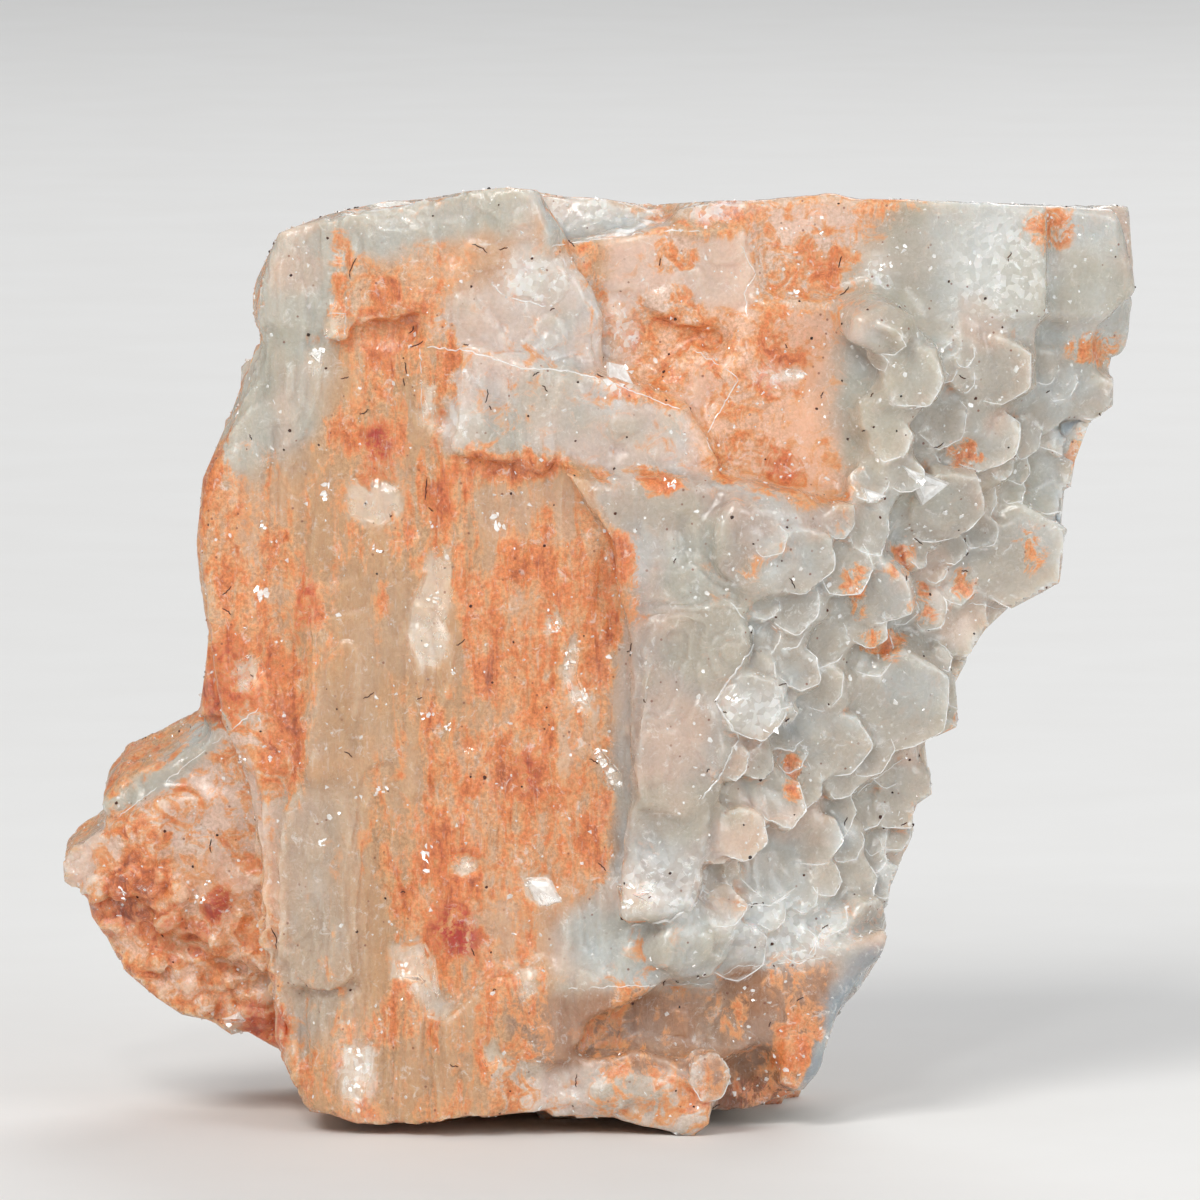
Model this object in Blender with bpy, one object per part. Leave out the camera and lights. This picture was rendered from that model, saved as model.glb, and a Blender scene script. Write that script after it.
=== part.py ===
"""Apophyllite cluster: one fused mineral specimen, 87 mm wide, standing on its broken-off flat base.

Heights and widths are read in the picture plane, the upright plane seen by someone who looks at the
front with their eye a little above it. An outline is a list of (across, up) in millimetres there, and
`at` turns it into a place in space once its depth is known. Depth runs away from the viewer, +Y.
"""

import math
import random

import bmesh
import bpy
from mathutils import Matrix, Vector

MM = 0.001
EYE_TILT = math.radians(6.0)  # how far above level the viewer's eye is
PLANE_DEPTH = -20.0  # mm, where heights in the picture plane are true heights
SEED = 7
SMALL_END_TRIES = 700  # attempts at fitting one more small crystal end on the flank
RIM_ENDS = 30
BACK_SMALL = 14
GOLDEN_ANGLE = 137.5  # degrees
FLOOR_CUT = 300.0  # mm, the side of the block that takes away all below the floor

# The right-hand edge of the specimen in the picture plane, as (up, across) in mm.
FLANK_EDGE = [
    (4.9, 17.5), (9.8, 19.2), (13.3, 21.4), (16.8, 23.6), (22.6, 25.2), (27.5, 27.0), (31.0, 26.8),
    (33.6, 29.2), (36.5, 29.6), (40.6, 32.0), (43.0, 35.0), (45.8, 37.0), (48.8, 38.4), (52.4, 39.2),
    (56.0, 38.6), (58.5, 41.0), (61.0, 42.2), (66.0, 42.9),
]
# Where the flank of crystal ends begins, going right, as (up, across) in mm.
FLANK_START = [(13.0, 6.0), (20.0, 8.5), (34.0, 12.5), (44.0, 13.5), (50.0, 20.0), (58.0, 22.0), (64.0, 26.0)]


def along(table, x):
    """The value at x of a polyline given as rising (x, value) pairs."""
    for (x0, y0), (x1, y1) in zip(table, table[1:]):
        if x <= x1:
            return y0 + (y1 - y0) * (x - x0) / (x1 - x0)
    return table[-1][1]


def at(across, up, depth):
    """The place in space, in metres, of a picture-plane point at a depth, all in mm."""
    height = (up - (depth - PLANE_DEPTH) * math.sin(EYE_TILT)) / math.cos(EYE_TILT)
    return Vector((across, depth, height)) * MM


def collection(name, rendered=True):
    made = bpy.data.collections.new(name)
    bpy.context.scene.collection.children.link(made)
    made.hide_render = not rendered
    return made


def finish_mesh(name, mesh_builder, into):
    """Makes an object of a bmesh, with its faces pointing out, in a collection."""
    bmesh.ops.recalc_face_normals(mesh_builder, faces=mesh_builder.faces)
    mesh = bpy.data.meshes.new(name)
    mesh_builder.to_mesh(mesh)
    mesh_builder.free()
    made = bpy.data.objects.new(name, mesh)
    into.objects.link(made)
    return made


def block(name, outline, depth, into, yaw=0.0, pitch=0.0, rim=0.4, reach=20.0, rise=0.0, drift=0.0,
          taper=0.96):
    """A flat-faced crystal with a straight outline, grown towards the viewer.

    The face is turned right by yaw and up by pitch, in degrees, and its rim is chamfered. Behind the
    face the body reaches back, rising and drifting right by so much per mm, and narrows by taper.
    """
    middle_u = sum(u for u, v in outline) / len(outline)
    middle_v = sum(v for u, v in outline) / len(outline)
    slope_u = math.tan(math.radians(yaw))
    slope_v = math.tan(math.radians(pitch))
    shape = bmesh.new()
    face_points = []
    tail_points = []
    for u, v in outline:
        point_depth = depth + slope_u * (u - middle_u) + slope_v * (v - middle_v)
        face_points.append(at(u, v, point_depth))
        tail_u = middle_u + (u - middle_u) * taper + drift * reach
        tail_v = middle_v + (v - middle_v) * taper
        tail = at(tail_u, tail_v, point_depth) + Vector((0, 1, rise)) * reach * MM
        tail_points.append(tail)
    face = shape.faces.new([shape.verts.new(p) for p in face_points])
    grown = bmesh.ops.extrude_face_region(shape, geom=[face])
    tail_verts = [item for item in grown["geom"] if isinstance(item, bmesh.types.BMVert)]
    for vert in tail_verts:
        nearest = min(range(len(face_points)), key=lambda i: (vert.co - face_points[i]).length)
        vert.co = tail_points[nearest]
    if rim:
        front_edges = [e for e in shape.edges if not any(v in tail_verts for v in e.verts)]
        bmesh.ops.bevel(shape, geom=front_edges, offset=rim * MM, segments=1, affect="EDGES",
                        clamp_overlap=True)
    return finish_mesh(name, shape, into)


def uneven_corners(amount):
    """How far each corner of a six-sided crystal lies from its axis, as shares of its radius."""
    return [random.uniform(1 - amount, 1 + amount) for _ in range(6)]


def prism(name, centre, axis, radius, length, into, spin=0.0, stretch=1.0, rim=0.35, corners=None):
    """A straight six-sided crystal with a flat end. centre is the middle of that end, in metres, axis points
    out of it, and the rest is in mm and degrees. stretch widens it across."""
    corners = corners or uneven_corners(0.1)
    shape = bmesh.new()
    bmesh.ops.create_cone(shape, cap_ends=True, segments=6, radius1=radius * 0.94 * MM, radius2=radius * MM,
                          depth=length * MM, matrix=Matrix.Translation((0, 0, -length / 2 * MM)))
    for vert in shape.verts:
        corner = round(math.degrees(math.atan2(vert.co.y, vert.co.x)) / 60) % 6
        vert.co.x *= corners[corner]
        vert.co.y *= corners[corner]
    end_edges = [e for e in shape.edges if all(v.co.z > -1e-6 for v in e.verts)]
    if rim:
        bmesh.ops.bevel(shape, geom=end_edges, offset=rim * MM, segments=1, affect="EDGES",
                        clamp_overlap=True)
    axis = Vector(axis).normalized()
    across = Vector((0, 0, 1)).cross(axis)
    across = across.normalized() if across.length > 0.1 else Vector((1, 0, 0))
    upward = axis.cross(across)
    turn = Matrix((across, upward, axis)).transposed().to_4x4()
    size = Matrix.Diagonal((stretch, 1.0, 1.0, 1.0))
    rolled = Matrix.Rotation(math.radians(spin), 4, "Z")
    shape.transform(Matrix.Translation(centre) @ turn @ size @ rolled)
    return finish_mesh(name, shape, into)


def heading(yaw, pitch):
    """The direction that is turned right by yaw from the viewer and up by pitch, in degrees."""
    yaw, pitch = math.radians(yaw), math.radians(pitch)
    return Vector((math.sin(yaw) * math.cos(pitch), -math.cos(yaw) * math.cos(pitch), math.sin(pitch)))


def trunk(into):
    """The upright columns of the front, stained orange in the real stone, and the body behind them."""
    body = [(-31.6, 53), (-29.2, 58.4), (-27.0, 64), (-12.8, 64.6), (0, 54), (12.8, 50), (11.6, 40),
            (11.2, 31), (8, 18.4), (4, 13.4), (-3, 2.6), (-13.6, 2.0), (-20, 2.2), (-23.6, 3.4),
            (-25.6, 6.8), (-26.6, 12.4), (-27, 19.6), (-27.6, 27.6), (-30.4, 34), (-31.2, 40.4),
            (-31.8, 46.8)]
    block("trunk_body", body, -16.2, into, rim=0.8, reach=26, taper=0.9)
    block("trunk_left", [(-32.0, 53), (-29.6, 58.4), (-27.6, 63.8), (-24.6, 63), (-24, 56), (-25, 44),
          (-27, 35.6), (-30, 33.6), (-32.4, 33.6), (-31.8, 37.6), (-31.5, 40.6), (-32.2, 44.1),
          (-32.6, 46.8)], -13.4, into, yaw=-38, rim=0.5, reach=9)
    block("trunk_second", [(-27, 64), (-21.4, 64), (-21.2, 43.6), (-21.6, 27.6), (-25.4, 27), (-26, 35.6),
                           (-25.4, 50)], -17.0, into, yaw=-11, rim=0.5)
    block("trunk_lens", [(-25.4, 26.6), (-24, 28.4), (-20.4, 27.6), (-19.7, 23.6), (-19.5, 17.2),
          (-20, 12.8), (-22.4, 11.6), (-25.2, 12.4), (-26.2, 17.2), (-26, 22.8)], -17.9, into, yaw=-9,
          rim=0.5)
    block("trunk_foot", [(-26.2, 13), (-21.6, 14), (-19.4, 11), (-18.8, 3), (-19.7, 1.2), (-23.8, 2.7),
                         (-24.6, 4.2), (-25.8, 6.7)], -16.6, into, yaw=-16, rim=0.6)
    block("trunk_third", [(-21.6, 64.4), (-13.6, 63.6), (-12, 54), (-12.8, 35.6), (-13.4, 19.6), (-13.3, 1.0),
                          (-15.7, 1.1), (-19.7, 1.2), (-19.2, 12), (-21.8, 28)], -17.5, into, yaw=-4, rim=0.4)
    block("trunk_fourth", [(-12.4, 56.2), (-8.6, 55.6), (-3.2, 55.0), (-2.8, 35.6), (-3.2, 11.6),
          (-4.6, 2.1), (-11.1, 1.5), (-13.3, 1.0), (-13.4, 19.6)], -18.1, into, yaw=1, rim=0.35,
          rise=0.05)
    block("trunk_fifth", [(-3.6, 53.6), (0, 52.8), (2.8, 43.6), (2.6, 27.6), (1.8, 17.3), (-3.2, 14.8),
          (-4, 12.8), (-3.8, 35)], -18.6, into, yaw=3, rim=0.35, rise=0.1)
    block("trunk_apron", [(-13.4, 9), (-9, 13), (-3.2, 14.6), (4.6, 12.2), (-0.6, 9.7), (-2.5, 9),
          (-1.2, 8.4), (-2.7, 6.3), (-7, 5.2), (-7, 2.4), (-11.1, 1.5), (-13.3, 1.0)], -18.8, into, yaw=4,
          pitch=-3, rim=0.5, reach=12)
    block("trunk_rod", [(-13.6, 67.9), (-11.6, 67.9), (-11.2, 63.9), (-12.1, 63.6), (-12.2, 58.4),
          (-14.2, 58.4), (-14.2, 63.4), (-13.8, 65.2)], -18.2, into, rim=0.45, reach=6)


def corner_tier(into):
    """The third step: the pale block that stands out furthest, where the front meets the flank."""
    block("corner_body", [(-3.2, 53.8), (0, 52.8), (8, 53), (16, 51.8), (20, 50.2), (18.4, 48),
          (15.2, 46.8), (12.2, 46.4), (11.6, 43.6), (12.2, 40.6), (11.5, 37.9), (9, 36), (11.2, 30.8),
          (9.6, 27.6), (8.5, 22), (7.5, 18.5), (1.8, 17.3), (2.6, 27.6), (2.4, 40), (0.8, 48)], -19.8,
          into, yaw=9, rim=0.5, rise=0.22, reach=14)
    block("corner_plate", [(3.6, 41), (5.4, 42.2), (10.3, 43.4), (11.8, 42.4), (12.2, 40.6), (11.5, 37.9),
          (9, 36.2), (10.6, 31.6), (9.4, 27.8), (7, 25.4), (3.4, 26.4), (2.8, 29), (3.2, 36)], -20.9,
          into, yaw=10, rim=0.5, reach=8)
    block("corner_lower", [(2.6, 26), (7, 25), (9.2, 27), (8.5, 22), (7.5, 18.5), (1.8, 17.3), (2, 20)],
          -20.2, into, yaw=6, pitch=-6, rim=0.5, reach=8)
    block("corner_upper", [(10.6, 51.6), (15.8, 50.6), (18, 49.4), (16.8, 46.9), (14.4, 43.6), (12.4, 43.2),
                           (9.4, 45.6), (9, 49)], -20.3, into, yaw=16, rim=0.5, reach=8)


def second_tier(into):
    """The second step, a pale ledge that comes out of the upper right block."""
    block("second_body", [(-11.4, 63.9), (-7.1, 62.6), (0, 61.2), (3.6, 60.4), (6.6, 58.8), (8.6, 56.2),
          (9.8, 54), (8, 52.8), (2.2, 52.6), (-0.7, 52.8), (-3.6, 54.3), (-5.2, 53.1), (-6.8, 54.2),
          (-8.4, 54.3), (-12.4, 55.1), (-11.8, 57)], -18.6, into, yaw=5, rim=0.5, rise=0.3, reach=12)
    block("second_shelf", [(-10.6, 63.4), (-0.5, 60.6), (4, 59.4), (8.4, 57), (12.6, 53.4), (9, 52.4),
          (2, 52.6), (-2, 53.6)], -16.4, into, yaw=8, rim=0.4, rise=0.3, reach=12)


def upper_left_block(into):
    """The block at the top left, with a ragged lower edge where its face has broken away."""
    block("upper_left_body", [(-27.8, 67.9), (-25.7, 73), (-17.7, 75.2), (-11, 76.2), (-8.4, 76.5),
          (-5, 76.2), (-3.6, 74), (-2.4, 71), (0.1, 66.3), (-0.2, 62.3), (-7, 62.8), (-12, 64), (-20, 64),
          (-27.9, 65.3)], -17.0, into, yaw=1, rim=0.5, reach=24, rise=-0.15, taper=0.92)
    block("upper_left_pale", [(-27.8, 67.9), (-25.7, 73), (-20.4, 74.4), (-20.2, 65.2), (-22, 64.3),
          (-27, 64), (-27.9, 65.3)], -17.0, into, yaw=-13, rim=0.5)
    block("upper_left_face", [(-20.6, 74.3), (-17.7, 75.2), (-11, 76.2), (-8.4, 76.5), (-5.1, 76.1),
          (-3.5, 71.8), (-5, 67.6), (-8, 67.4), (-11.6, 67.9), (-13.4, 68.1), (-14.5, 66.5),
          (-16.6, 65.8), (-17.9, 65.8), (-20.2, 65.0)], -18.1, into, yaw=1, pitch=2, rim=0.3, rise=-0.1)
    block("upper_left_cube", [(-21.9, 66.9), (-19.6, 66.5), (-19.8, 64.3), (-21.9, 64.3)], -18.4, into, yaw=8,
          rim=0.3, reach=5)
    block("upper_left_plate", [(-13.4, 67.6), (-8, 68.4), (-3.2, 71), (-1.6, 69.2), (0.1, 66.3),
          (-0.2, 62.3), (-3.6, 61.9), (-7.1, 62.6), (-11.4, 63.9)], -17.6, into, yaw=8, rim=0.4,
          rise=-0.1)
    block("back_plate", [(-5.4, 76.2), (0.6, 75.6), (2.3, 75.4), (3.5, 74.7), (4.9, 74.3), (5.5, 73.3),
          (3, 70), (-4, 70), (-6, 73)], -9.5, into, yaw=4, pitch=8, rim=0.3, reach=20, rise=-0.14)


def upper_right_block(into):
    """The big block at the top right and the plates that lie on its face."""
    block("upper_right_body", [(-3.6, 71.8), (4.9, 73.1), (6.3, 74.7), (10.9, 75.3), (16.6, 75.9),
          (18.6, 76.2), (20.6, 75.7), (30.4, 75.4), (36, 75.2), (36, 66), (26.3, 65.2), (22, 58),
          (20.2, 50), (0, 52), (-4, 60)], -13.0, into, yaw=4, rim=0.5, reach=25, rise=-0.15, taper=0.92)
    block("upper_right_lip", [(-3.6, 71.8), (4.9, 73.1), (11.6, 73.4), (12.6, 69.5), (11.8, 66.3),
          (9, 65), (6.3, 65.3), (3.7, 66.9), (3.4, 68.2), (-2, 68.6)], -14.6, into, yaw=3, rim=0.3,
          reach=6)
    block("upper_right_box", [(11.2, 66.2), (13, 65.8), (13, 62.6), (11, 62), (9.8, 63), (10.6, 65.4)],
          -15.0, into, yaw=-8, rim=0.35, reach=5)
    block("upper_right_scale", [(7.2, 63.6), (11.2, 61.8), (10.8, 60), (8.6, 59.4), (6.4, 59.6),
          (4.8, 62)], -15.2, into, yaw=6, pitch=14, rim=0.3, reach=5)
    block("upper_right_step", [(12.6, 67.4), (20.8, 67.1), (24.4, 67), (26.2, 64.6), (25, 59), (21.4, 53),
          (20, 50.6), (13, 51.6), (9, 55), (8, 58.4)], -14.4, into, yaw=7, rim=0.35, reach=8, rise=0.25)
    block("upper_right_wing", [(24, 75.2), (30.4, 75.4), (34.1, 75.3), (41.5, 74.9), (42.2, 74),
          (43.2, 70.2), (43.3, 68.2), (42.1, 67.3), (40.9, 65.8), (37.7, 65.7), (37, 66.1), (34.4, 65.6),
          (32.9, 65), (30.3, 64.6), (29.5, 63.4), (27.8, 64), (26.3, 65.3), (24.4, 68)], -9.0, into,
          yaw=17, rim=0.55, reach=19, rise=-0.14, drift=-0.14, taper=0.9)
    block("upper_right_tail", [(36.8, 65.8), (40.9, 65.8), (42.1, 67.3), (43.3, 68.2), (42.9, 64.6),
          (42.5, 63.2), (41.4, 62.9), (38.4, 64)], -3.4, into, yaw=26, rim=0.5, reach=12, drift=-0.24,
          taper=0.86)


def lower_block(into):
    """The lowest step, set back under the overhanging edge of the blocks above, down to the lowest tip."""
    block("overhang", [(-4.4, 17), (1.8, 17.6), (7.5, 18.6), (10.4, 18), (11, 16.4), (10.3, 14.6), (8.8, 13),
                       (4.8, 12.9), (-0.6, 12.5), (-4.1, 12.8)], -18.0, into, yaw=5, rim=0.5, reach=20)
    block("overhang_flank", [(8.6, 14.8), (10.4, 15.8), (10.2, 20), (22, 21), (23.4, 17), (22.6, 15.6),
          (19.8, 15), (15.4, 14.6)], -12.6, into, yaw=33, pitch=-4, rim=0.5, reach=16, drift=-0.1)
    block("lower_body", [(-7, 6), (-4.1, 14), (8.8, 14.2), (19.8, 16), (23.6, 16.8), (22.6, 14.3),
          (21.2, 13.3), (19.2, 9.8), (18.2, 7), (18.1, 5.8), (17.5, 4.9), (14.8, 5.2), (14.6, 8.6),
          (8.8, 5.6), (8.6, 2.6), (0.5, 2), (-4.6, 2.4), (-7, 2.6)], -14.4, into, yaw=6, rim=0.5,
          reach=26, taper=0.9, drift=-0.08)
    block("lower_apron", [(-7, 5.3), (-2.6, 6.2), (3, 7.2), (8.4, 5.6), (9.1, 5.2), (8.8, 1.2),
          (7.4, 0.05), (0.5, 1.7), (-3.9, 1.5), (-4.6, 2.1), (-6.9, 2.2)], -17.6, into, yaw=-4, pitch=-5,
          rim=0.45, reach=22, rise=0.05, taper=0.9)
    block("lower_scale", [(-4, 3), (0, 2.7), (4.4, 2.8), (8, 5.2), (3, 5.6)], -18.4, into, yaw=-2,
          rim=0.3, reach=4)
    block("lower_right", [(14.8, 8.4), (18, 8.8), (18.1, 5.8), (17.5, 4.9), (16, 3.4), (14.4, 4.4)],
          -14.0, into, yaw=12, rim=0.4, reach=18, drift=-0.1)
    block("lower_recess", [(8.8, 5.6), (14.8, 8.6), (16, 3.5), (11.5, 2.2), (10, 1.8), (8.8, 2)], -11.6, into,
          rim=0.2, reach=22, taper=0.9)
    block("lower_facet", [(16.4, 11.6), (20, 14.4), (22.6, 14.3), (21, 11.8), (19.2, 9.8), (18.2, 7),
          (16.8, 7.6)], -10.5, into, yaw=42, rim=0.4, reach=16, drift=-0.2)


def wing(into):
    """The second growth that leans out at the lower left, two stacked plates over a rough mass."""
    block("wing_roof", [(-40.2, 26.6), (-38.4, 28.8), (-35.6, 30.0), (-32, 31.9), (-28.8, 34.4),
          (-26.6, 35.6), (-24.8, 35), (-24, 30), (-25, 25), (-32, 23), (-36.6, 22.4), (-35, 27.2),
          (-39.4, 25.7)], -10.2, into, yaw=-14, rim=0.35, rise=0.24, reach=8.5, taper=0.98)
    block("wing_lower_plate", [(-43.4, 22), (-42.3, 23.3), (-39.4, 25.3), (-35, 27.6), (-34.6, 24),
          (-36.4, 20), (-41.8, 19.3), (-43.3, 20.5)], -9.4, into, yaw=-20, pitch=-10, rim=0.6, rise=0.1,
          reach=9)
    block("wing_face", [(-34.8, 27.6), (-31.6, 28), (-25, 27), (-25, 16), (-27, 12.5), (-31, 14.4),
          (-36, 17.4), (-37.6, 20), (-37, 23.4)], -10.4, into, yaw=-6, pitch=-6, rim=0.5, reach=14,
          taper=0.94)
    block("wing_mass", [(-41.5, 19.2), (-36, 21), (-25, 20), (-24.6, 8), (-26, 6.8), (-28.6, 8.3),
          (-29.8, 8.0), (-31.6, 9.2), (-33.8, 9.6), (-35.9, 11.2), (-38.6, 13.3), (-39.9, 15.8),
          (-41.2, 17.7)], -7.4, into, yaw=-10, pitch=-14, rim=0.7, reach=13, rise=0.1, taper=0.86)


def flank_depth(across, up):
    """How deep the sloping flank of crystal ends lies at a picture-plane point, in mm."""
    return -17.2 + 0.78 * (across - 9.0 - 0.33 * (up - 20.0))


# The crystal ends that stand out on the flank: across, up, width, height, and how far proud, in mm.
LARGE_ENDS = [
    (12.2, 35.1, 5.8, 4.6, 1.2), (25.2, 61.4, 4.8, 6.8, 1.6), (23.0, 64.8, 5.2, 3.8, 0.8),
    (32.4, 61.7, 6.8, 5.8, 1.4), (38.6, 63.4, 3.4, 2.6, 0.8), (39.6, 60.0, 4.8, 4.2, 1.0),
    (31.6, 54.6, 4.6, 4.2, 0.9), (27.6, 51.0, 5.0, 5.0, 1.4), (22.0, 49.2, 3.2, 4.4, 1.2),
    (22.2, 44.0, 4.4, 5.2, 1.6), (17.0, 42.6, 3.2, 3.2, 0.8), (34.0, 47.0, 7.6, 7.4, 2.2),
    (36.4, 53.4, 4.4, 3.6, 0.9), (24.6, 35.4, 8.8, 8.4, 2.0), (20.6, 30.2, 4.0, 4.2, 0.8),
    (10.6, 24.2, 3.6, 3.6, 1.0), (13.8, 27.9, 3.4, 3.6, 0.9), (20.0, 24.0, 3.4, 3.6, 0.8),
    (15.6, 20.0, 6.4, 4.8, 1.4), (7.2, 15.6, 4.4, 4.0, 1.4), (19.8, 17.2, 4.6, 4.0, 0.9),
    (15.4, 38.8, 3.0, 3.2, 0.7), (28.6, 41.4, 3.8, 3.6, 0.8), (23.6, 54.0, 4.2, 5.0, 1.0),
    (25.4, 28.4, 3.0, 3.4, 0.9), (17.4, 33.0, 3.4, 3.4, 0.6), (12.4, 31.0, 3.2, 3.2, 0.5),
    (29.6, 57.6, 4.0, 3.6, 0.7),
]


def in_flank(across, up, margin):
    """Whether a crystal end with this much room round it lies on the flank."""
    return along(FLANK_START, up) + 0.2 < across < along(FLANK_EDGE, up) - margin


def crystal_ends(into):
    """The flank: six-sided crystal ends that face the viewer and step back like scales to the right."""
    flank = [(8, 14.6), (9.4, 22), (12.6, 34), (13.6, 44), (20, 50), (22, 58), (25, 64), (38, 64.6),
        (40.4, 60.6), (37.2, 55.4), (37.4, 50.4), (35.6, 46), (31.4, 41.6), (28, 35.4), (25.6, 30.4),
        (25.4, 24.6), (22.8, 18.4), (20, 14.6)]
    shape = bmesh.new()
    face = shape.faces.new([shape.verts.new(at(u, v, flank_depth(u, v) + 1.2)) for u, v in flank])
    grown = bmesh.ops.extrude_face_region(shape, geom=[face])
    inward = Vector((-6, 14, 0)) * MM
    bmesh.ops.translate(shape, vec=inward,
                        verts=[g for g in grown["geom"] if isinstance(g, bmesh.types.BMVert)])
    finish_mesh("flank_body", shape, into)

    taken = []
    for number, (across, up, width, height, proud) in enumerate(LARGE_ENDS):
        place = at(across, up, flank_depth(across, up) - proud)
        lean = heading(14 + 0.5 * max(0.0, across - 14), random.uniform(-9, 1))
        corners = uneven_corners(0.09)
        end = prism(f"end_{number}", place, lean, height * 0.6, 11, into, spin=random.uniform(-6, 6),
                    stretch=width / height, rim=0.5, corners=corners)
        if height > 4.9:
            terrace(end, place, lean, height * 0.6, width / height, corners, into)
        taken.append((across, up, height * 0.42))
    lowest, highest = 15.0, 65.0
    leftmost, rightmost = 7.0, 42.0
    for number in range(SMALL_END_TRIES):
        up = random.uniform(lowest, highest)
        across = random.uniform(leftmost, rightmost)
        radius = 2.2 + 1.6 * random.random() ** 1.4
        crowded = any(math.hypot(across - u, up - v) < 0.66 * (radius + r) for u, v, r in taken)
        if crowded or not in_flank(across, up, radius * 0.8):
            continue
        taken.append((across, up, radius))
        place = at(across, up, flank_depth(across, up) - random.uniform(-0.3, 0.4))
        lean = heading(12 + 0.6 * max(0.0, across - 14), random.uniform(-12, 2))
        prism(f"small_end_{number}", place, lean, radius, 7, into, spin=random.uniform(-12, 12),
              stretch=random.uniform(0.95, 1.25), rim=0.32, corners=uneven_corners(0.14))


def terrace(crystal, place, lean, radius, stretch, corners, into):
    """A growth step on a broad crystal's end: a thinner, smaller plate of the same outline."""
    aside = Vector((random.uniform(-0.2, 0.1), 0, random.uniform(-0.05, 0.2))) * radius * MM
    lift = random.uniform(0.3, 0.45)
    prism(crystal.name + "_terrace", place + aside + lean * lift * MM, lean,
          radius * random.uniform(0.62, 0.76), 3, into, spin=random.uniform(-5, 5), stretch=stretch,
          rim=0.0, corners=corners)


def flank_rim(into):
    """Crystal ends that carry the flank round to the back, seen from the front only as its scalloped edge."""
    lowest, highest = 7.0, 61.0
    for number in range(RIM_ENDS):
        up = lowest + (highest - lowest) * (number + random.uniform(-0.4, 0.4)) / (RIM_ENDS - 1)
        round_the_back = (number * 0.382) % 1.0
        turn = 55 + 75 * round_the_back + random.uniform(-8, 8)
        depth = -2.0 + 16.0 * round_the_back
        radius = random.uniform(2.4, 4.8)
        inset = 2.6 + 0.22 * radius + 4.0 * round_the_back ** 2
        narrowing = 0.16 * max(0.0, 40 - up) * round_the_back
        # These heights are true ones: the picture plane plays no part on this side.
        place = Vector((along(FLANK_EDGE, up) - inset - narrowing, depth, up)) * MM
        lean = heading(turn, random.uniform(-16, 0))
        prism(f"rim_{number}", place + lean * 1.3 * MM, lean, radius, 10, into, spin=random.uniform(-14, 14),
              stretch=random.uniform(0.9, 1.35), rim=0.4, corners=uneven_corners(0.15))


# Broad crystals of the hidden side: across, height, depth, turned right, turned up (degrees), radius, in mm.
BROAD = [
    (-15, 56, 19.5, -14, 8, 11.0), (1, 58, 17.0, 4, 12, 11.5), (20, 58, 15.0, 20, 6, 10.5),
    (-21, 36, 16.5, -24, 2, 10), (-4, 41, 22.0, -3, -4, 12.5), (14, 46, 19.0, 16, 2, 9.5),
    (-14, 13, 17.5, -12, -4, 15), (5, 10, 16.0, 12, -5, 13), (30, 52, 8.5, 40, 0, 8.0),
    (-20.4, 63, 12.5, -24, 10, 5.6), (1, 24, 20.0, 4, -6, 8.5), (15, 27, 13.5, 30, -4, 9),
]


def back_growth(into):
    """The hidden side: broad stepped crystals that point away from the viewer, with lesser ones between."""
    for number, (across, height, depth, yaw, pitch, radius) in enumerate(BROAD):
        direction = heading(yaw, pitch)
        direction.y = -direction.y
        place = Vector((across, depth, height)) * MM
        stretch = random.uniform(0.8, 1.1)
        corners = uneven_corners(0.22)
        crystal = prism(f"broad_{number}", place, direction, radius, depth + 8, into,
                        spin=random.uniform(-25, 25), stretch=stretch, rim=1.0, corners=corners)
        reached = 0.0
        size = radius
        for step in range(number % 3 + 1):
            angle = random.uniform(0, 2 * math.pi)
            aside = Vector((math.cos(angle), 0, math.sin(angle))) * radius * random.uniform(0.2, 0.42) * MM
            reached += random.uniform(0.5, 1.2)
            size *= random.uniform(0.6, 0.85)
            tilted = direction + Vector((random.uniform(-0.06, 0.06), 0, random.uniform(-0.06, 0.06)))
            prism(f"{crystal.name}_step_{step}", place + aside + direction * reached * MM, tilted, size,
                  4 + reached, into, spin=random.uniform(-12, 12), stretch=stretch, rim=0.35,
                  corners=corners)
    for number in range(BACK_SMALL):
        across, height, depth, yaw, pitch, radius = BROAD[number % len(BROAD)]
        angle = math.radians(number * GOLDEN_ANGLE)
        small = random.uniform(2.4, 5.0)
        u = across + math.cos(angle) * radius * 0.9
        z = height + math.sin(angle) * radius * 0.9
        direction = heading(yaw + random.uniform(-9, 9), pitch + random.uniform(-8, 8))
        direction.y = -direction.y
        place = Vector((min(u, 30.0), depth - random.uniform(1.6, 3.4), min(max(z, 5.0), 68.0))) * MM
        prism(f"back_small_{number}", place, direction, small, 10, into, spin=random.uniform(-25, 25),
              rim=0.0, corners=uneven_corners(0.2))


# Growth plates on the top: across, depth, radius, in mm.
TOP_PLATES = [
    (-20, -8, 4.6), (-12, -6, 9), (-3, 1, 7), (-19, 4, 6.5), (-9, 10, 8), (13, -6, 7),
    (22, -3, 9), (34, 2, 7), (8, 4, 8), (18, 10, 9), (30, 9, 6), (2, 12, 6),
]


def top_plates(into):
    """Thin plates stepped over the top, which falls away to the back at just about the eye's tilt."""
    for number, (across, depth, radius) in enumerate(TOP_PLATES):
        plane_top = 75.5 if across > 6 or across < -20 else 75.9
        top = at(across, plane_top - random.uniform(0.1, 1.3), depth)
        slope = (random.uniform(-0.03, 0.03), 0.11 + random.uniform(-0.03, 0.05), 1)
        prism(f"top_plate_{number}", top, slope, radius, 6, into, spin=random.uniform(-25, 25),
              stretch=random.uniform(0.9, 1.3), rim=0.0, corners=uneven_corners(0.2))


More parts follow.
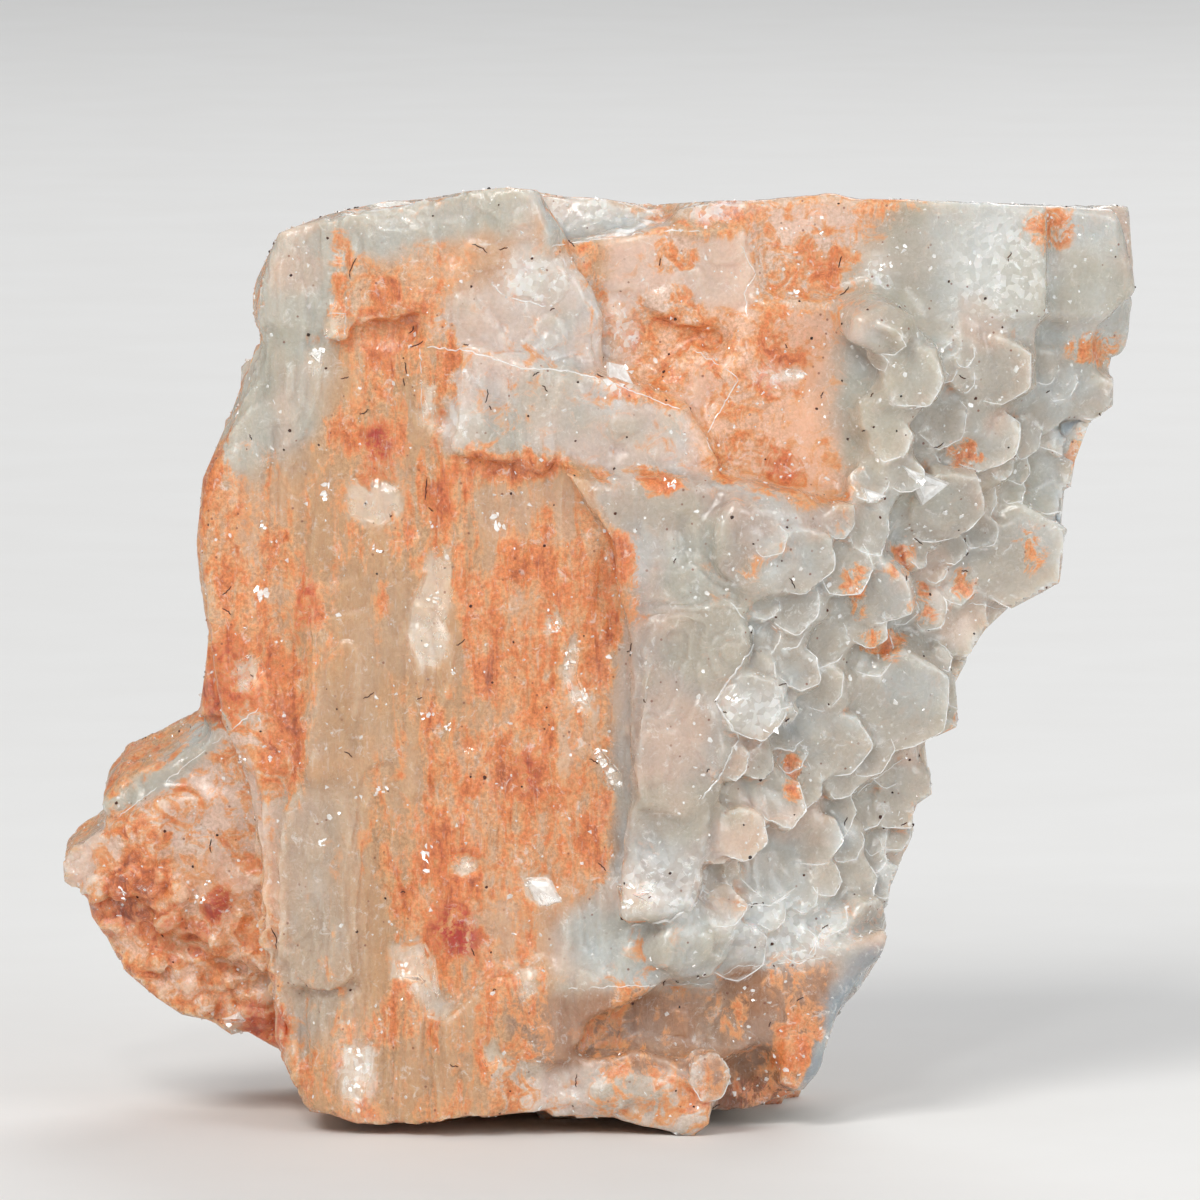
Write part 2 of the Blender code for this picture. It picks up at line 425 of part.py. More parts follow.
def left_columns(into):
    """Upright six-sided columns that close the left side, with flat tops at different heights."""
    columns = [
        (-24.6, -5.0, 57.0, 6.4, 26), (-24.0, 3.0, 61.0, 6.2, 30), (-20.6, 11.0, 57.0, 6.2, 32),
        (-27.0, -0.5, 46.5, 4.6, 20), (-22.0, 7.5, 67.0, 4.6, 24), (-18.4, 0.0, 30.0, 5.4, 34),
        (-17.6, 9.0, 25.0, 6.2, 29), (-25.6, 6.5, 49.0, 4.4, 20), (-23.4, -9.6, 40.0, 4.6, 18),
    ]
    for number, (x, y, top, radius, length) in enumerate(columns):
        prism(f"column_{number}", Vector((x, y, top)) * MM, (0.03, 0.02, 1), radius, length, into,
              spin=random.uniform(-15, 15), rim=0.6)


# Crystals that run down to the floor: across, depth, height of the top, radius, in mm.
ROOTS = [
    (-14.8, -3.6, 14, 5.2), (-14, 7, 20, 9), (-3, 6, 18, 8.5), (7, 6.5, 16, 8), (-9, 1, 12, 5),
    (1, -1, 10, 4.5), (12, 8, 12, 5),
]


def roots(into):
    """Upright crystals that run down to the flat cut that the specimen stands on, hidden from the front."""
    below_floor = 3.0
    for number, (across, depth, top, radius) in enumerate(ROOTS):
        lean = (random.uniform(-0.1, 0.1), random.uniform(-0.12, 0.02), 1)
        prism(f"root_{number}", Vector((across, depth, top)) * MM, lean, radius, top + below_floor, into,
              spin=random.uniform(-25, 25), rim=0.0, corners=uneven_corners(0.15))


def stone_material():
    """Milky stone, warm from the iron stain in it."""
    material = bpy.data.materials.new("milky_apophyllite")
    material.use_nodes = True
    shader = material.node_tree.nodes["Principled BSDF"]
    shader.inputs["Base Color"].default_value = (0.80, 0.62, 0.48, 1)
    shader.inputs["Roughness"].default_value = 0.35
    shader.inputs["Metallic"].default_value = 0.0
    return material


def outer_shell(shape):
    """Deletes the sealed pockets between crystals, which leaves the one shell that encloses the rest."""
    unseen = set(shape.faces)
    shells = []
    while unseen:
        start = unseen.pop()
        shell = {start}
        edge_of_search = [start]
        while edge_of_search:
            face = edge_of_search.pop()
            for edge in face.edges:
                for neighbour in edge.link_faces:
                    if neighbour in unseen:
                        unseen.remove(neighbour)
                        shell.add(neighbour)
                        edge_of_search.append(neighbour)
        shells.append(shell)
    shells.sort(key=len)
    pockets = [face for shell in shells[:-1] for face in shell]
    bmesh.ops.delete(shape, geom=pockets, context="FACES")


def merge_flat_faces(shape):
    """Takes out the edges and points that the union leaves inside flat faces and along straight edges."""
    bmesh.ops.dissolve_limit(shape, angle_limit=math.radians(2.0), verts=shape.verts, edges=shape.edges,
                             use_dissolve_boundaries=False)
    bmesh.ops.triangulate(shape, faces=shape.faces)


def centre_on_base(shape):
    """Moves the specimen so that the middle of its box in plan is over the origin and it stands on z = 0."""
    low = [min(v.co[i] for v in shape.verts) for i in range(3)]
    high = [max(v.co[i] for v in shape.verts) for i in range(3)]
    shift = Vector((-(low[0] + high[0]) / 2, -(low[1] + high[1]) / 2, -low[2]))
    bmesh.ops.translate(shape, vec=shift, verts=shape.verts)


def join_crystals(crystals, cutters, into, material):
    """Unites every crystal in one solid, cuts it off flat at the floor, and centres it over the origin."""
    first = crystals.objects[0]
    grown = bpy.data.objects.new("grown_crystals", first.data.copy())
    cutters.objects.link(grown)
    crystals.objects.unlink(first)
    union = grown.modifiers.new("grown_together", "BOOLEAN")
    union.operation = "UNION"
    union.operand_type = "COLLECTION"
    union.collection = crystals
    union.solver = "EXACT"

    bpy.ops.mesh.primitive_cube_add(size=FLOOR_CUT * MM, location=(0, 0, -FLOOR_CUT / 2 * MM))
    floor_cut = bpy.context.object
    floor_cut.name = "floor_cut"
    for holder in list(floor_cut.users_collection):
        holder.objects.unlink(floor_cut)
    cutters.objects.link(floor_cut)
    cut = grown.modifiers.new("cut_off_flat", "BOOLEAN")
    cut.operation = "DIFFERENCE"
    cut.object = floor_cut
    cut.solver = "EXACT"

    bpy.context.view_layer.update()
    shape = bmesh.new()
    shape.from_object(grown, bpy.context.evaluated_depsgraph_get())
    outer_shell(shape)
    merge_flat_faces(shape)
    centre_on_base(shape)
    cluster = finish_mesh("apophyllite_cluster", shape, into)
    cluster.data.materials.clear()
    cluster.data.materials.append(material)
    for helper in (grown, floor_cut):
        bpy.data.objects.remove(helper)
    return cluster


def main():
    for old in list(bpy.data.objects):
        bpy.data.objects.remove(old)
    random.seed(SEED)
    parts = collection("apophyllite_cluster_parts")
    crystals = collection("crystals", rendered=False)
    cutters = collection("cutters", rendered=False)
    trunk(crystals)
    corner_tier(crystals)
    second_tier(crystals)
    upper_left_block(crystals)
    upper_right_block(crystals)
    lower_block(crystals)
    wing(crystals)
    crystal_ends(crystals)
    flank_rim(crystals)
    back_growth(crystals)
    top_plates(crystals)
    left_columns(crystals)
    roots(crystals)
    for crystal in crystals.objects:
        crystal.hide_render = True
        crystal.display_type = "WIRE"
    join_crystals(crystals, cutters, parts, stone_material())


main()
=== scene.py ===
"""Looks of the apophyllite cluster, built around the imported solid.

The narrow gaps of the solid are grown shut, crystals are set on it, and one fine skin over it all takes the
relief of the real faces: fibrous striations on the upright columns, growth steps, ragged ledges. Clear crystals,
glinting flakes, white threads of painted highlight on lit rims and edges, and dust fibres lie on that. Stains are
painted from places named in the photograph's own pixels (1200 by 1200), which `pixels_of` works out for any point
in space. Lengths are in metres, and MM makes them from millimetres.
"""

import math
import random

import bpy
import numpy as np
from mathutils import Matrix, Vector
from mathutils.bvhtree import BVHTree


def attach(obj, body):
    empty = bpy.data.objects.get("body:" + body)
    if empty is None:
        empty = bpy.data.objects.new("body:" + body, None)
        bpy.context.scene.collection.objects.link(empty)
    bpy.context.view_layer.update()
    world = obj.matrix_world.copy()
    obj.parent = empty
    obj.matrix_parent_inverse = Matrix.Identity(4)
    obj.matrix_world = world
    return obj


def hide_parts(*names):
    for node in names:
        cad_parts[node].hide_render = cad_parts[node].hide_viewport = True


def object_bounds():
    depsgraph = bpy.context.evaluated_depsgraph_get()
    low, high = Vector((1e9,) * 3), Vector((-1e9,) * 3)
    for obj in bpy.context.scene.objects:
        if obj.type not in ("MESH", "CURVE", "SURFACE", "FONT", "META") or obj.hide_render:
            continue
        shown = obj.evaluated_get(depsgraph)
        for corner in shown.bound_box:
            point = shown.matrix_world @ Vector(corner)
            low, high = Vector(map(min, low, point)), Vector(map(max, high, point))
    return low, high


MM = 0.001
SEED = 11
NODE = "apophyllite_cluster"
BODY = "root"

# The photograph's eye: how far above level, how far away, how wide the frame is there, and what it looks at.
EYE_TILT = math.radians(6.0)
EYE_DISTANCE = 1.5
PHOTO_WIDTH_PX = 1200
FRAME_WIDTH = 96 * MM
PIXEL = FRAME_WIDTH / PHOTO_WIDTH_PX
AIM = Vector((-0.08, -21.37, 43.6)) * MM
RIGHT = Vector((1, 0, 0))
FORWARD = Vector((0, math.cos(EYE_TILT), -math.sin(EYE_TILT)))
UPWARD = Vector((0, math.sin(EYE_TILT), math.cos(EYE_TILT)))

BODY_CELL = 0.36 * MM  # the skin of the body while its gaps are grown shut
SKIN_CELL = 0.29 * MM  # the skin of the whole stone, before its relief
GAP_ON_TRUNK = 0.4 * MM  # half the width of the gaps that are shut
GAP_ON_FLANK = 1.3 * MM
IOR = 1.535  # of apophyllite
KEY_POWER = 11.2  # watts
SURROUND = (0.93, 0.95, 0.97, 1)
SURROUND_STRENGTH = 0.42
FLOOR_HALF_WIDTH = 3.2
LENS_WIDTH = 36  # millimetres, of the camera's film
END_SIDES = 24  # corners of a crystal end's outline
RIM_STEPS = 40  # places round a crystal end where its rim may carry a painted highlight

# Lamps: name, place, size, share of the key lamp's power, and colour.
LAMPS = (
    ("key", (-0.5, -1.0, 1.0), 0.6, 1.0, (1.0, 0.985, 0.96)),
    ("fill", (0.95, -0.85, 0.45), 0.7, 0.4, (0.95, 0.98, 1.0)),
    ("back", (0.3, 1.0, 0.9), 0.8, 0.5, (1, 1, 1)),
    ("glint", (-0.15, -1.3, 0.75), 0.12, 0.2, (1, 1, 1)),
)
LAMP_TARGET = (0, 0, 40 * MM)
CLEAN_OUTLINE_HEIGHT = 55 * MM  # above it, no crystal of the back shows over the outline
STONE_TRIANGLES = 196000  # what the stone is thinned to once it has its relief
UNSEEN_TRIANGLES = 80000  # about how many of them lie where the photograph doesn't show

# Colours of the stone, in linear light. The first rows lie under the stain, which deepens from WARM to DARK.
BEIGE = (0.55, 0.335, 0.185)
SAND = (0.63, 0.385, 0.235)
CREAM = (0.50, 0.47, 0.41)
PALE = (0.52, 0.515, 0.48)
MILK = (0.64, 0.525, 0.46)
LEDGE = (0.50, 0.405, 0.345)
ROSE = (0.70, 0.51, 0.41)
PEACH = (0.77, 0.47, 0.32)
FLANK = (0.47, 0.425, 0.365)
PLATE = (0.44, 0.38, 0.335)
# TAN_IN_PAINTED_SHADE is darkened as painted shade, for the lower block under an overhanging ledge.
TAN_IN_PAINTED_SHADE = (0.36, 0.185, 0.10)
# RECESS_PAINTED_SHADE is dark as painted shade, for the recess under the lowest ledge.
RECESS_PAINTED_SHADE = (0.26, 0.11, 0.055)
# PANE_PAINTED_REFLECTION is pale as a painted reflection of the light inside the clear crystals.
PANE_PAINTED_REFLECTION = (0.64, 0.53, 0.43)
SLAB = (0.51, 0.39, 0.29)
SLATE = (0.29, 0.33, 0.36)
WARM = (0.71, 0.355, 0.165)
ORANGE = (0.71, 0.25, 0.085)
RUST = (0.50, 0.13, 0.04)
DARK = (0.20, 0.05, 0.022)
CRIMSON = (0.42, 0.035, 0.02)
FROST_AND_HIGHLIGHT = (0.84, 0.84, 0.82)
COOL_VEIL = (0.49, 0.51, 0.50)
WARM_VEIL = (0.63, 0.46, 0.36)
GREEN_VEIL = (0.45, 0.42, 0.34)

# Where the relief differs and where crystals are set: outlines and boxes in the photograph's pixels.
TRUNK = [(190, 300), (345, 200), (640, 500), (625, 900), (560, 1150), (260, 1150), (270, 800), (190, 720)]
WING = [(40, 900), (140, 850), (292, 850), (284, 1100), (60, 1100)]
WING_FACET = [(165, 800), (250, 850), (262, 890), (205, 915), (160, 950), (143, 900)]
LEFT_SLAB = [(277, 780), (352, 793), (354, 1023), (300, 1060), (270, 1034)]
WING_DRUSE = (76, 885, 285, 1060)
WING_DRUSE_TOP = 960  # the crust of the wing lies below this row,
WING_DRUSE_RIGHT = 130  # or left of this column
FLANK_BOX = (700, 325, 1130, 960)
FLANK_OUTLINE = [
    (760, 540), (850, 515), (890, 420), (870, 330), (930, 330), (1030, 345), (1125, 380), (1115, 410), (1080, 430),
    (1085, 500), (1075, 545), (1050, 595), (1010, 610), (990, 660), (955, 700), (955, 735), (930, 760), (935, 800),
    (905, 860), (890, 900), (890, 935), (730, 955), (700, 900), (735, 800), (720, 720), (755, 640),
]

# Each part of the front: outline in the photograph's pixels, softness of its edge there, colour under the
# stain, how much of it is stained, and how fibrous it is. Later rows lie over earlier ones.
REGIONS = (
    ([(285, 470), (385, 470), (400, 560), (470, 560), (480, 700), (430, 850), (420, 1110), (300, 1110),
      (275, 800)],
     34, BEIGE, 0.32, 1.0),
    ([(480, 470), (600, 500), (620, 600), (610, 900), (560, 960), (430, 960), (430, 780),
      (500, 700)], 30, SAND,
     0.38, 0.9),
    ([(190, 480), (285, 480), (290, 720), (195, 730)], 24, SAND, 0.34, 0.7),
    ([(345, 190), (545, 190), (560, 245), (520, 300), (430, 330), (340, 335)], 24, SAND, 0.26, 0.5),
    ([(235, 225), (350, 200), (345, 330), (312, 430), (250, 480), (195, 485),
      (220, 400)], 24, CREAM, 0.12, 0.8),
    ([(262, 262), (279, 220), (330, 190), (470, 175), (545, 190), (530, 228), (440, 246), (350, 262),
      (300, 330),
      (250, 400)], 14, CREAM, 0.05, 0.4),
    ([(530, 180), (672, 222), (600, 243), (552, 248)], 5, PALE, 0.02, 0.3),
    ([(525, 225), (604, 300), (608, 370), (560, 385), (470, 362), (425, 325), (450, 300), (505, 275)], 14,
     MILK, 0.1, 0.1),
    ([(450, 345), (560, 368), (684, 405), (742, 458), (705, 490), (628, 486), (560, 455), (445, 450)], 8,
     MILK, 0.1, 0.25),
    ([(600, 238), (757, 225), (757, 300), (740, 330), (660, 320), (600, 310)], 10, ROSE, 0.08, 0.1),
    ([(757, 195), (880, 195), (880, 300), (757, 305)], 20, ROSE, 0.27, 0.3),
    ([(605, 305), (660, 320), (757, 300), (852, 305), (862, 420), (832, 500), (760, 496), (700, 480),
      (690, 410), (628, 372)], 14, PEACH, 0.21, 0.2),
    ([(835, 300), (905, 195), (1150, 190), (1150, 300), (1110, 600), (920, 1000), (880, 1110), (700, 965),
      (600, 930), (640, 860), (720, 640), (750, 560), (840, 515)], 22, FLANK, 0.05, 0.0),
    ([(925, 190), (1150, 190), (1150, 292), (1131, 358), (1030, 342), (960, 332), (925, 290)], 16, PALE, 0.05,
     0.2),
    ([(592, 484), (700, 478), (852, 517), (752, 562), (640, 562), (610, 525)], 10, LEDGE, 0.05, 0.2),
    ([(632, 548), (740, 540), (752, 640), (715, 722), (735, 800), (702, 905), (640, 915), (615, 870),
      (612, 700)], 13, PLATE, 0.05, 0.3),
    ([(560, 990), (556, 930), (620, 878), (702, 900), (850, 900), (860, 958), (740, 965),
      (712, 988)], 16, PALE,
     0.1, 0.1),
    # The lower block under the overhanging ledge, tan darkened as painted shade.
    ([(500, 1002), (560, 990), (712, 987), (735, 967), (832, 960), (835, 1030), (800, 1087), (700, 1085),
      (520, 1080)], 9, TAN_IN_PAINTED_SHADE, 0.16, 0.6),
    ([(480, 1062), (700, 1080), (717, 1118), (692, 1150), (520, 1140)], 9, MILK, 0.2, 0.3),
    # The recess under the lowest ledge, dark brown as painted shade.
    ([(710, 1077), (792, 1077), (802, 1108), (715, 1122)], 6, RECESS_PAINTED_SHADE, 0.12, 0.8),
    ([(822, 1000), (850, 950), (890, 935), (888, 968), (822, 1087), (806, 1102)], 8, SLATE, 0.02, 0.0),
    ([(97, 809), (262, 688), (288, 740), (292, 870), (140, 872), (140, 830)], 12, ROSE, 0.26, 0.1),
    ([(92, 806), (262, 684), (268, 706), (125, 818)], 7, CREAM, 0.06, 0.1),
    ([(52, 870), (107, 822), (165, 798), (172, 852), (130, 902), (80, 908)], 10, ROSE, 0.24, 0.1),
    ([(76, 902), (140, 850), (292, 850), (282, 1066), (200, 1040), (105, 990)], 14, PEACH, 0.3, 0.05),
    ([(277, 780), (352, 793), (354, 1023), (300, 1060), (270, 1034)], 24, SLAB, 0.12, 0.8),
)

# Stained and clean places: box in the photograph's pixels, change of the stain, and how dark red it is.
STAINS = (
    (196, 439, 233, 597, 0.35, 0.0), (295, 571, 308, 634, 0.6, 0.55), (265, 640, 310, 800, 0.4, 0.12),
    (201, 640, 256, 720, 0.5, 0.4), (367, 437, 386, 461, 0.6, 0.9), (326, 425, 351, 453, 0.5, 0.1),
    (434, 468, 454, 525, 0.45, 0.25), (445, 453, 566, 482, 0.5, 0.1), (514, 548, 572, 588, 0.35, 0.0),
    (390, 812, 480, 927, 0.35, 0.1), (515, 748, 543, 790, 0.5, 0.35), (436, 908, 480, 954, 0.7, 1.0),
    (707, 340, 808, 498, 0.12, 0.0), (749, 355, 807, 396, 0.3, 0.2), (757, 451, 801, 495, 0.35, 0.3),
    (757, 235, 863, 310, 0.15, 0.0), (801, 239, 844, 274, 0.35, 0.2), (763, 317, 816, 367, 0.25, 0.15),
    (660, 238, 700, 270, 0.3, 0.0), (1024, 205, 1079, 247, 0.45, 0.05), (950, 440, 980, 460, 0.6, 0.1),
    (892, 539, 916, 578, 0.5, 0.05), (848, 563, 866, 619, 0.5, 0.0), (916, 586, 933, 622, 0.5, 0.05),
    (866, 633, 907, 654, 0.45, 0.0), (954, 569, 972, 598, 0.4, 0.0), (1016, 525, 1039, 569, 0.45, 0.0),
    (1068, 456, 1089, 495, 0.5, 0.05), (945, 715, 957, 736, 0.4, 0.0), (787, 757, 807, 792, 0.45, 0.0),
    (1070, 330, 1120, 360, 0.3, 0.0), (355, 425, 395, 480, 0.3, 0.2), (320, 410, 360, 450, 0.25, 0.0),
    (648, 474, 684, 492, 0.8, 0.15), (640, 300, 700, 380, 0.3, 0.0), (600, 540, 640, 640, 0.35, 0.15),
    (480, 560, 600, 680, 0.12, 0.05), (138, 868, 160, 930, 0.5, 0.1), (205, 890, 232, 925, 0.4, 0.8),
    (152, 918, 216, 955, 0.5, 0.3), (240, 1000, 280, 1062, 0.45, 0.55), (84, 895, 140, 930, 0.3, 0.15),
    # The box (720, 1080, 790, 1112) deepens the stain in the recess under the lowest ledge as painted shade.
    (110, 870, 140, 905, 0.35, 0.1), (520, 1000, 600, 1060, 0.2, 0.05), (720, 1080, 790, 1112, 0.3, 0.25),
    (540, 755, 600, 905, 0.2, 0.08), (455, 740, 500, 800, 0.25, 0.05), (424, 840, 440, 880, 0.4, 0.2),
    (330, 230, 350, 330, 0.3, 0.0), (345, 280, 420, 350, 0.3, 0.05), (246, 340, 330, 430, -0.15, 0.0),
    (400, 590, 470, 700, -0.3, 0.0), (330, 640, 395, 760, -0.25, 0.0), (470, 700, 520, 745, -0.2, 0.0),
    (280, 700, 330, 820, -0.15, 0.0), (345, 860, 395, 1030, -0.25, 0.0), (540, 880, 620, 960, -0.2, 0.0),
    (480, 480, 530, 540, -0.25, 0.0), (560, 690, 620, 740, -0.2, 0.0), (360, 1040, 440, 1120, -0.2, 0.0),
    (210, 470, 280, 560, -0.15, 0.0), (690, 245, 752, 300, -0.2, 0.0), (640, 890, 700, 915, -0.2, 0.0),
    (746, 960, 800, 985, 0.2, 0.0), (780, 1000, 812, 1070, 0.35, 0.1), (730, 1000, 760, 1040, 0.25, 0.0),
)

# Frosted places, where the stone is full of small bright cracks.
FROSTED = (
    (495, 253, 561, 303), (866, 258, 891, 286), (338, 1046, 376, 1105), (620, 850, 720, 915),
    (680, 190, 760, 215),
    (600, 300, 640, 360), (730, 900, 850, 960), (1050, 420, 1090, 450), (950, 220, 1040, 320),
    (760, 370, 800, 385), (440, 400, 480, 440), (540, 190, 660, 225), (716, 690, 800, 730),
    (600, 375, 640, 388),
)

# Broad crystal ends on the flank: middle and radius in the photograph's pixels.
BROAD_ENDS = (
    (753, 706, 38), (880, 592, 38), (914, 378, 36), (1000, 372, 38), (1022, 560, 58), (900, 702, 58),
    (948, 508, 44), (868, 528, 30), (858, 425, 34), (1060, 425, 34), (985, 440, 34), (1090, 350, 26),
    (820, 640, 36), (835, 745, 40), (905, 800, 34), (770, 860, 44), (850, 880, 34), (800, 560, 38),
    (960, 625, 34),
    (1045, 490, 30), (720, 640, 34), (830, 810, 30), (1098, 398, 24),
)

# The outline of the slanting top left corner, in the photograph's pixels.
CORNER = ((232, 330), (279, 233), (330, 214), (400, 198), (470, 191))

# Painted highlights as white threads on lit plate edges: a line in the photograph's pixels, and its thickness in
# millimetres.
HIGHLIGHT_EDGES = (
    ([(427, 347), (468, 351), (522, 368), (567, 371), (606, 380), (657, 401), (684, 410)], 0.06),
    ([(492, 284), (504, 296), (534, 303), (561, 311)], 0.06),
    ([(741, 245), (756, 275), (745, 290), (747, 320)], 0.06),
    ([(552, 246), (612, 237), (672, 231), (705, 231)], 0.06),
    ([(693, 350), (729, 371), (738, 380), (705, 437), (714, 455)], 0.05),
    ([(730, 602), (751, 626), (754, 644), (715, 701), (739, 737), (718, 779), (697, 803)], 0.1),
    ([(706, 869), (698, 902), (670, 920), (628, 926)], 0.13),
    ([(556, 989), (640, 986), (712, 984), (735, 967), (800, 961), (832, 957)], 0.04),
    ([(964, 602), (997, 608), (1048, 602), (1079, 554)], 0.06),
    ([(847, 803), (871, 782), (907, 755), (934, 761), (959, 731), (961, 698)], 0.07),
    ([(736, 905), (772, 905), (808, 878)], 0.08),
    ([(808, 956), (823, 929), (850, 935)], 0.06),
    ([(323, 315), (345, 313), (345, 335), (324, 337), (323, 315)], 0.05),
    ([(420, 348), (423, 424)], 0.05),
    ([(107, 824), (125, 812), (180, 770), (262, 706)], 0.06),
)

# Clear crystals: outlines in the photograph's pixels, and how far each stands out, in millimetres.
WINDOWS = (
    ([(347, 480), (375, 474), (402, 488), (398, 512), (380, 525), (350, 515)], 0.6),
    ([(428, 548), (458, 545), (456, 585), (446, 622), (452, 640), (440, 668), (420, 664), (408, 634),
      (416, 596)],
     0.6),
    ([(394, 946), (425, 941), (436, 960), (441, 996), (454, 1010), (446, 1024), (428, 1018), (420, 976),
      (397, 975)],
     0.9),
    ([(340, 1048), (376, 1046), (372, 1075), (360, 1104), (342, 1100), (345, 1075)], 0.7),
    ([(563, 660), (574, 640), (580, 645), (576, 668), (591, 708), (589, 717), (572, 706), (564, 680)], 0.6),
    ([(591, 748), (599, 746), (623, 775), (622, 787), (611, 784)], 0.5),
    ([(524, 878), (548, 876), (562, 900), (548, 906), (526, 895)], 0.8),
    ([(618, 884), (657, 881), (655, 889), (632, 894), (655, 903), (650, 909), (622, 909)], 0.6),
    ([(784, 368), (803, 370), (806, 380), (786, 376)], 0.5),
    ([(860, 487), (885, 496), (877, 504), (864, 499)], 0.6),
    ([(546, 614), (561, 616), (563, 632), (548, 634)], 0.6),
    ([(449, 854), (470, 852), (478, 870), (460, 877)], 0.6),
    ([(511, 970), (530, 968), (537, 990), (522, 1003), (513, 990)], 0.7),
    ([(236, 660), (258, 649), (267, 668), (250, 692), (238, 684)], 0.8),
    ([(473, 1049), (495, 1048), (502, 1062), (486, 1067)], 0.5),
    ([(309, 352), (322, 350), (323, 366), (312, 376)], 0.6),
    ([(220, 1020), (238, 1012), (246, 1020), (232, 1042), (220, 1040)], 0.8),
    ([(418, 378), (436, 378), (436, 425), (418, 425)], 0.7),
    ([(323, 316), (344, 314), (344, 334), (325, 336)], 0.7),
)

# White wedge-shaped crystals that catch the light: outlines in the photograph's pixels, and height in mm.
WEDGES = (
    ([(901, 464), (948, 482), (919, 504)], 1.1), ([(860, 487), (886, 496), (866, 503)], 0.6),
    ([(605, 366), (622, 370), (636, 387), (608, 387)], 0.7), ([(527, 878), (552, 880), (562, 902),
      (540, 906)], 0.5),
    ([(620, 884), (656, 883), (654, 890), (624, 893)], 0.4), ([(308, 352), (322, 350), (320, 364)], 0.5),
    ([(222, 1018), (240, 1012), (246, 1020), (230, 1040)], 0.5),
)

# Bright glinting facets in the photograph: boxes in its pixels.
GLINTS = (
    (308, 350, 323, 364), (249, 582, 269, 600), (322, 480, 333, 500), (259, 522, 267, 532),
    (421, 712, 430, 722),
    (443, 721, 451, 730), (448, 666, 455, 676), (494, 507, 505, 532), (371, 545, 382, 553),
    (422, 842, 432, 872),
    (319, 834, 327, 850), (375, 786, 388, 797), (787, 290, 800, 297), (398, 962, 412, 974),
    (905, 468, 944, 498),
    (606, 366, 634, 386), (784, 370, 804, 378), (866, 489, 882, 501), (528, 880, 546, 892),
    (540, 892, 560, 903),
    (624, 884, 652, 888), (622, 898, 634, 908), (596, 750, 606, 766), (608, 768, 620, 784),
    (566, 650, 576, 670),
    (576, 690, 588, 710), (346, 1050, 360, 1070), (350, 1076, 362, 1096), (726, 694, 740, 704),
    (880, 262, 892, 272),
    (205, 880, 211, 886), (195, 893, 206, 903), (222, 1022, 236, 1038), (232, 1030, 242, 1040),
    (120, 886, 126, 904),
    (764, 720, 790, 732), (660, 480, 680, 488), (548, 620, 558, 630), (238, 756, 246, 764),
    (428, 592, 438, 606),
)

# Dark dust fibres that the photograph shows: middle in its pixels, length in pixels, and lean.
FIBRES = (
    (417, 345, 17, 25), (406, 368, 12, 100), (426, 489, 22, 85), (631, 650, 15, 80), (404, 382, 8, 95),
    (412, 330, 9, 60), (352, 268, 22, 75), (345, 378, 9, 10), (480, 248, 18, 150), (503, 249, 10, 20),
    (276, 937, 24, 110), (600, 376, 9, 120), (487, 396, 14, 80), (536, 374, 8, 30), (545, 388, 9, 130),
    (754, 905, 10, 20), (825, 927, 8, 40), (716, 1106, 9, 30), (664, 982, 10, 100), (845, 292, 14, 65),
    (840, 262, 12, 75), (906, 578, 8, 40), (708, 770, 6, 30), (822, 395, 7, 70), (660, 262, 8, 80),
)


def smooth_step(x, low, high):
    """0 below low, 1 above high, and a smooth rise between. Works on arrays."""
    t = np.clip((x - low) / (high - low), 0, 1)
    return t * t * (3 - 2 * t)


def lattice_value(cells, seed):
    """A repeatable number from 0 to 1 for each whole-numbered cell."""
    x, y, z = (cells[:, i].astype(np.int64) for i in range(3))
    mixed = (x * 374761393 + y * 668265263 + z * 2147483647 + seed * 1274126177) & 0xFFFFFFFF
    mixed = ((mixed ^ (mixed >> 13)) * 1274126177) & 0xFFFFFFFF
    mixed = ((mixed ^ (mixed >> 16)) * 2246822519) & 0xFFFFFFFF
    return (mixed ^ (mixed >> 15)).astype(float) / 0xFFFFFFFF


def noise(points, wavelength, seed, octaves=1):
    """Smooth noise from -1 to 1 at each point, with bumps about a wavelength apart. Wavelength may be a triple."""
    total = np.zeros(len(points))
    share = 1.0
    sum_of_shares = 0.0
    for octave in range(octaves):
        scaled = points / (np.array(wavelength, float) * 0.5 ** octave) + 71.3 * (seed + octave)
        cell = np.floor(scaled)
        t = scaled - cell
        t = t * t * (3 - 2 * t)
        value = np.zeros(len(points))
        for corner in range(8):
            offset = np.array([corner & 1, corner >> 1 & 1, corner >> 2 & 1])
            weight = np.prod(np.where(offset, t, 1 - t), axis=1)
            value += weight * lattice_value(cell + offset, seed + octave)
        total += share * (2 * value - 1)
        sum_of_shares += share
        share *= 0.5
    return total / sum_of_shares


def pixels_of(points):
    """Where points in space lie in the photograph, as (across, down) in its pixels, and how deep, in metres."""
    relative = points - np.array(AIM)
    depth = relative @ np.array(FORWARD)
    scale = EYE_DISTANCE / (EYE_DISTANCE + depth) / PIXEL
    middle = PHOTO_WIDTH_PX / 2
    return middle + relative @ np.array(RIGHT) * scale, middle - relative @ np.array(UPWARD) * scale, depth


def eye_point():
    return AIM - FORWARD * EYE_DISTANCE


def sight_line(px, py):
    """The direction from the photograph's eye through one of its pixels."""
    middle = PHOTO_WIDTH_PX / 2
    seen = AIM + RIGHT * (px - middle) * PIXEL + UPWARD * (middle - py) * PIXEL
    return (seen - eye_point()).normalized()


def apply_modifiers(piece):
    """Makes the piece's modifiers part of its mesh."""
    bpy.context.view_layer.update()
    kept = bpy.data.meshes.new_from_object(piece.evaluated_get(bpy.context.evaluated_depsgraph_get()))
    piece.modifiers.clear()
    old = piece.data
    piece.data = kept
    bpy.data.meshes.remove(old)


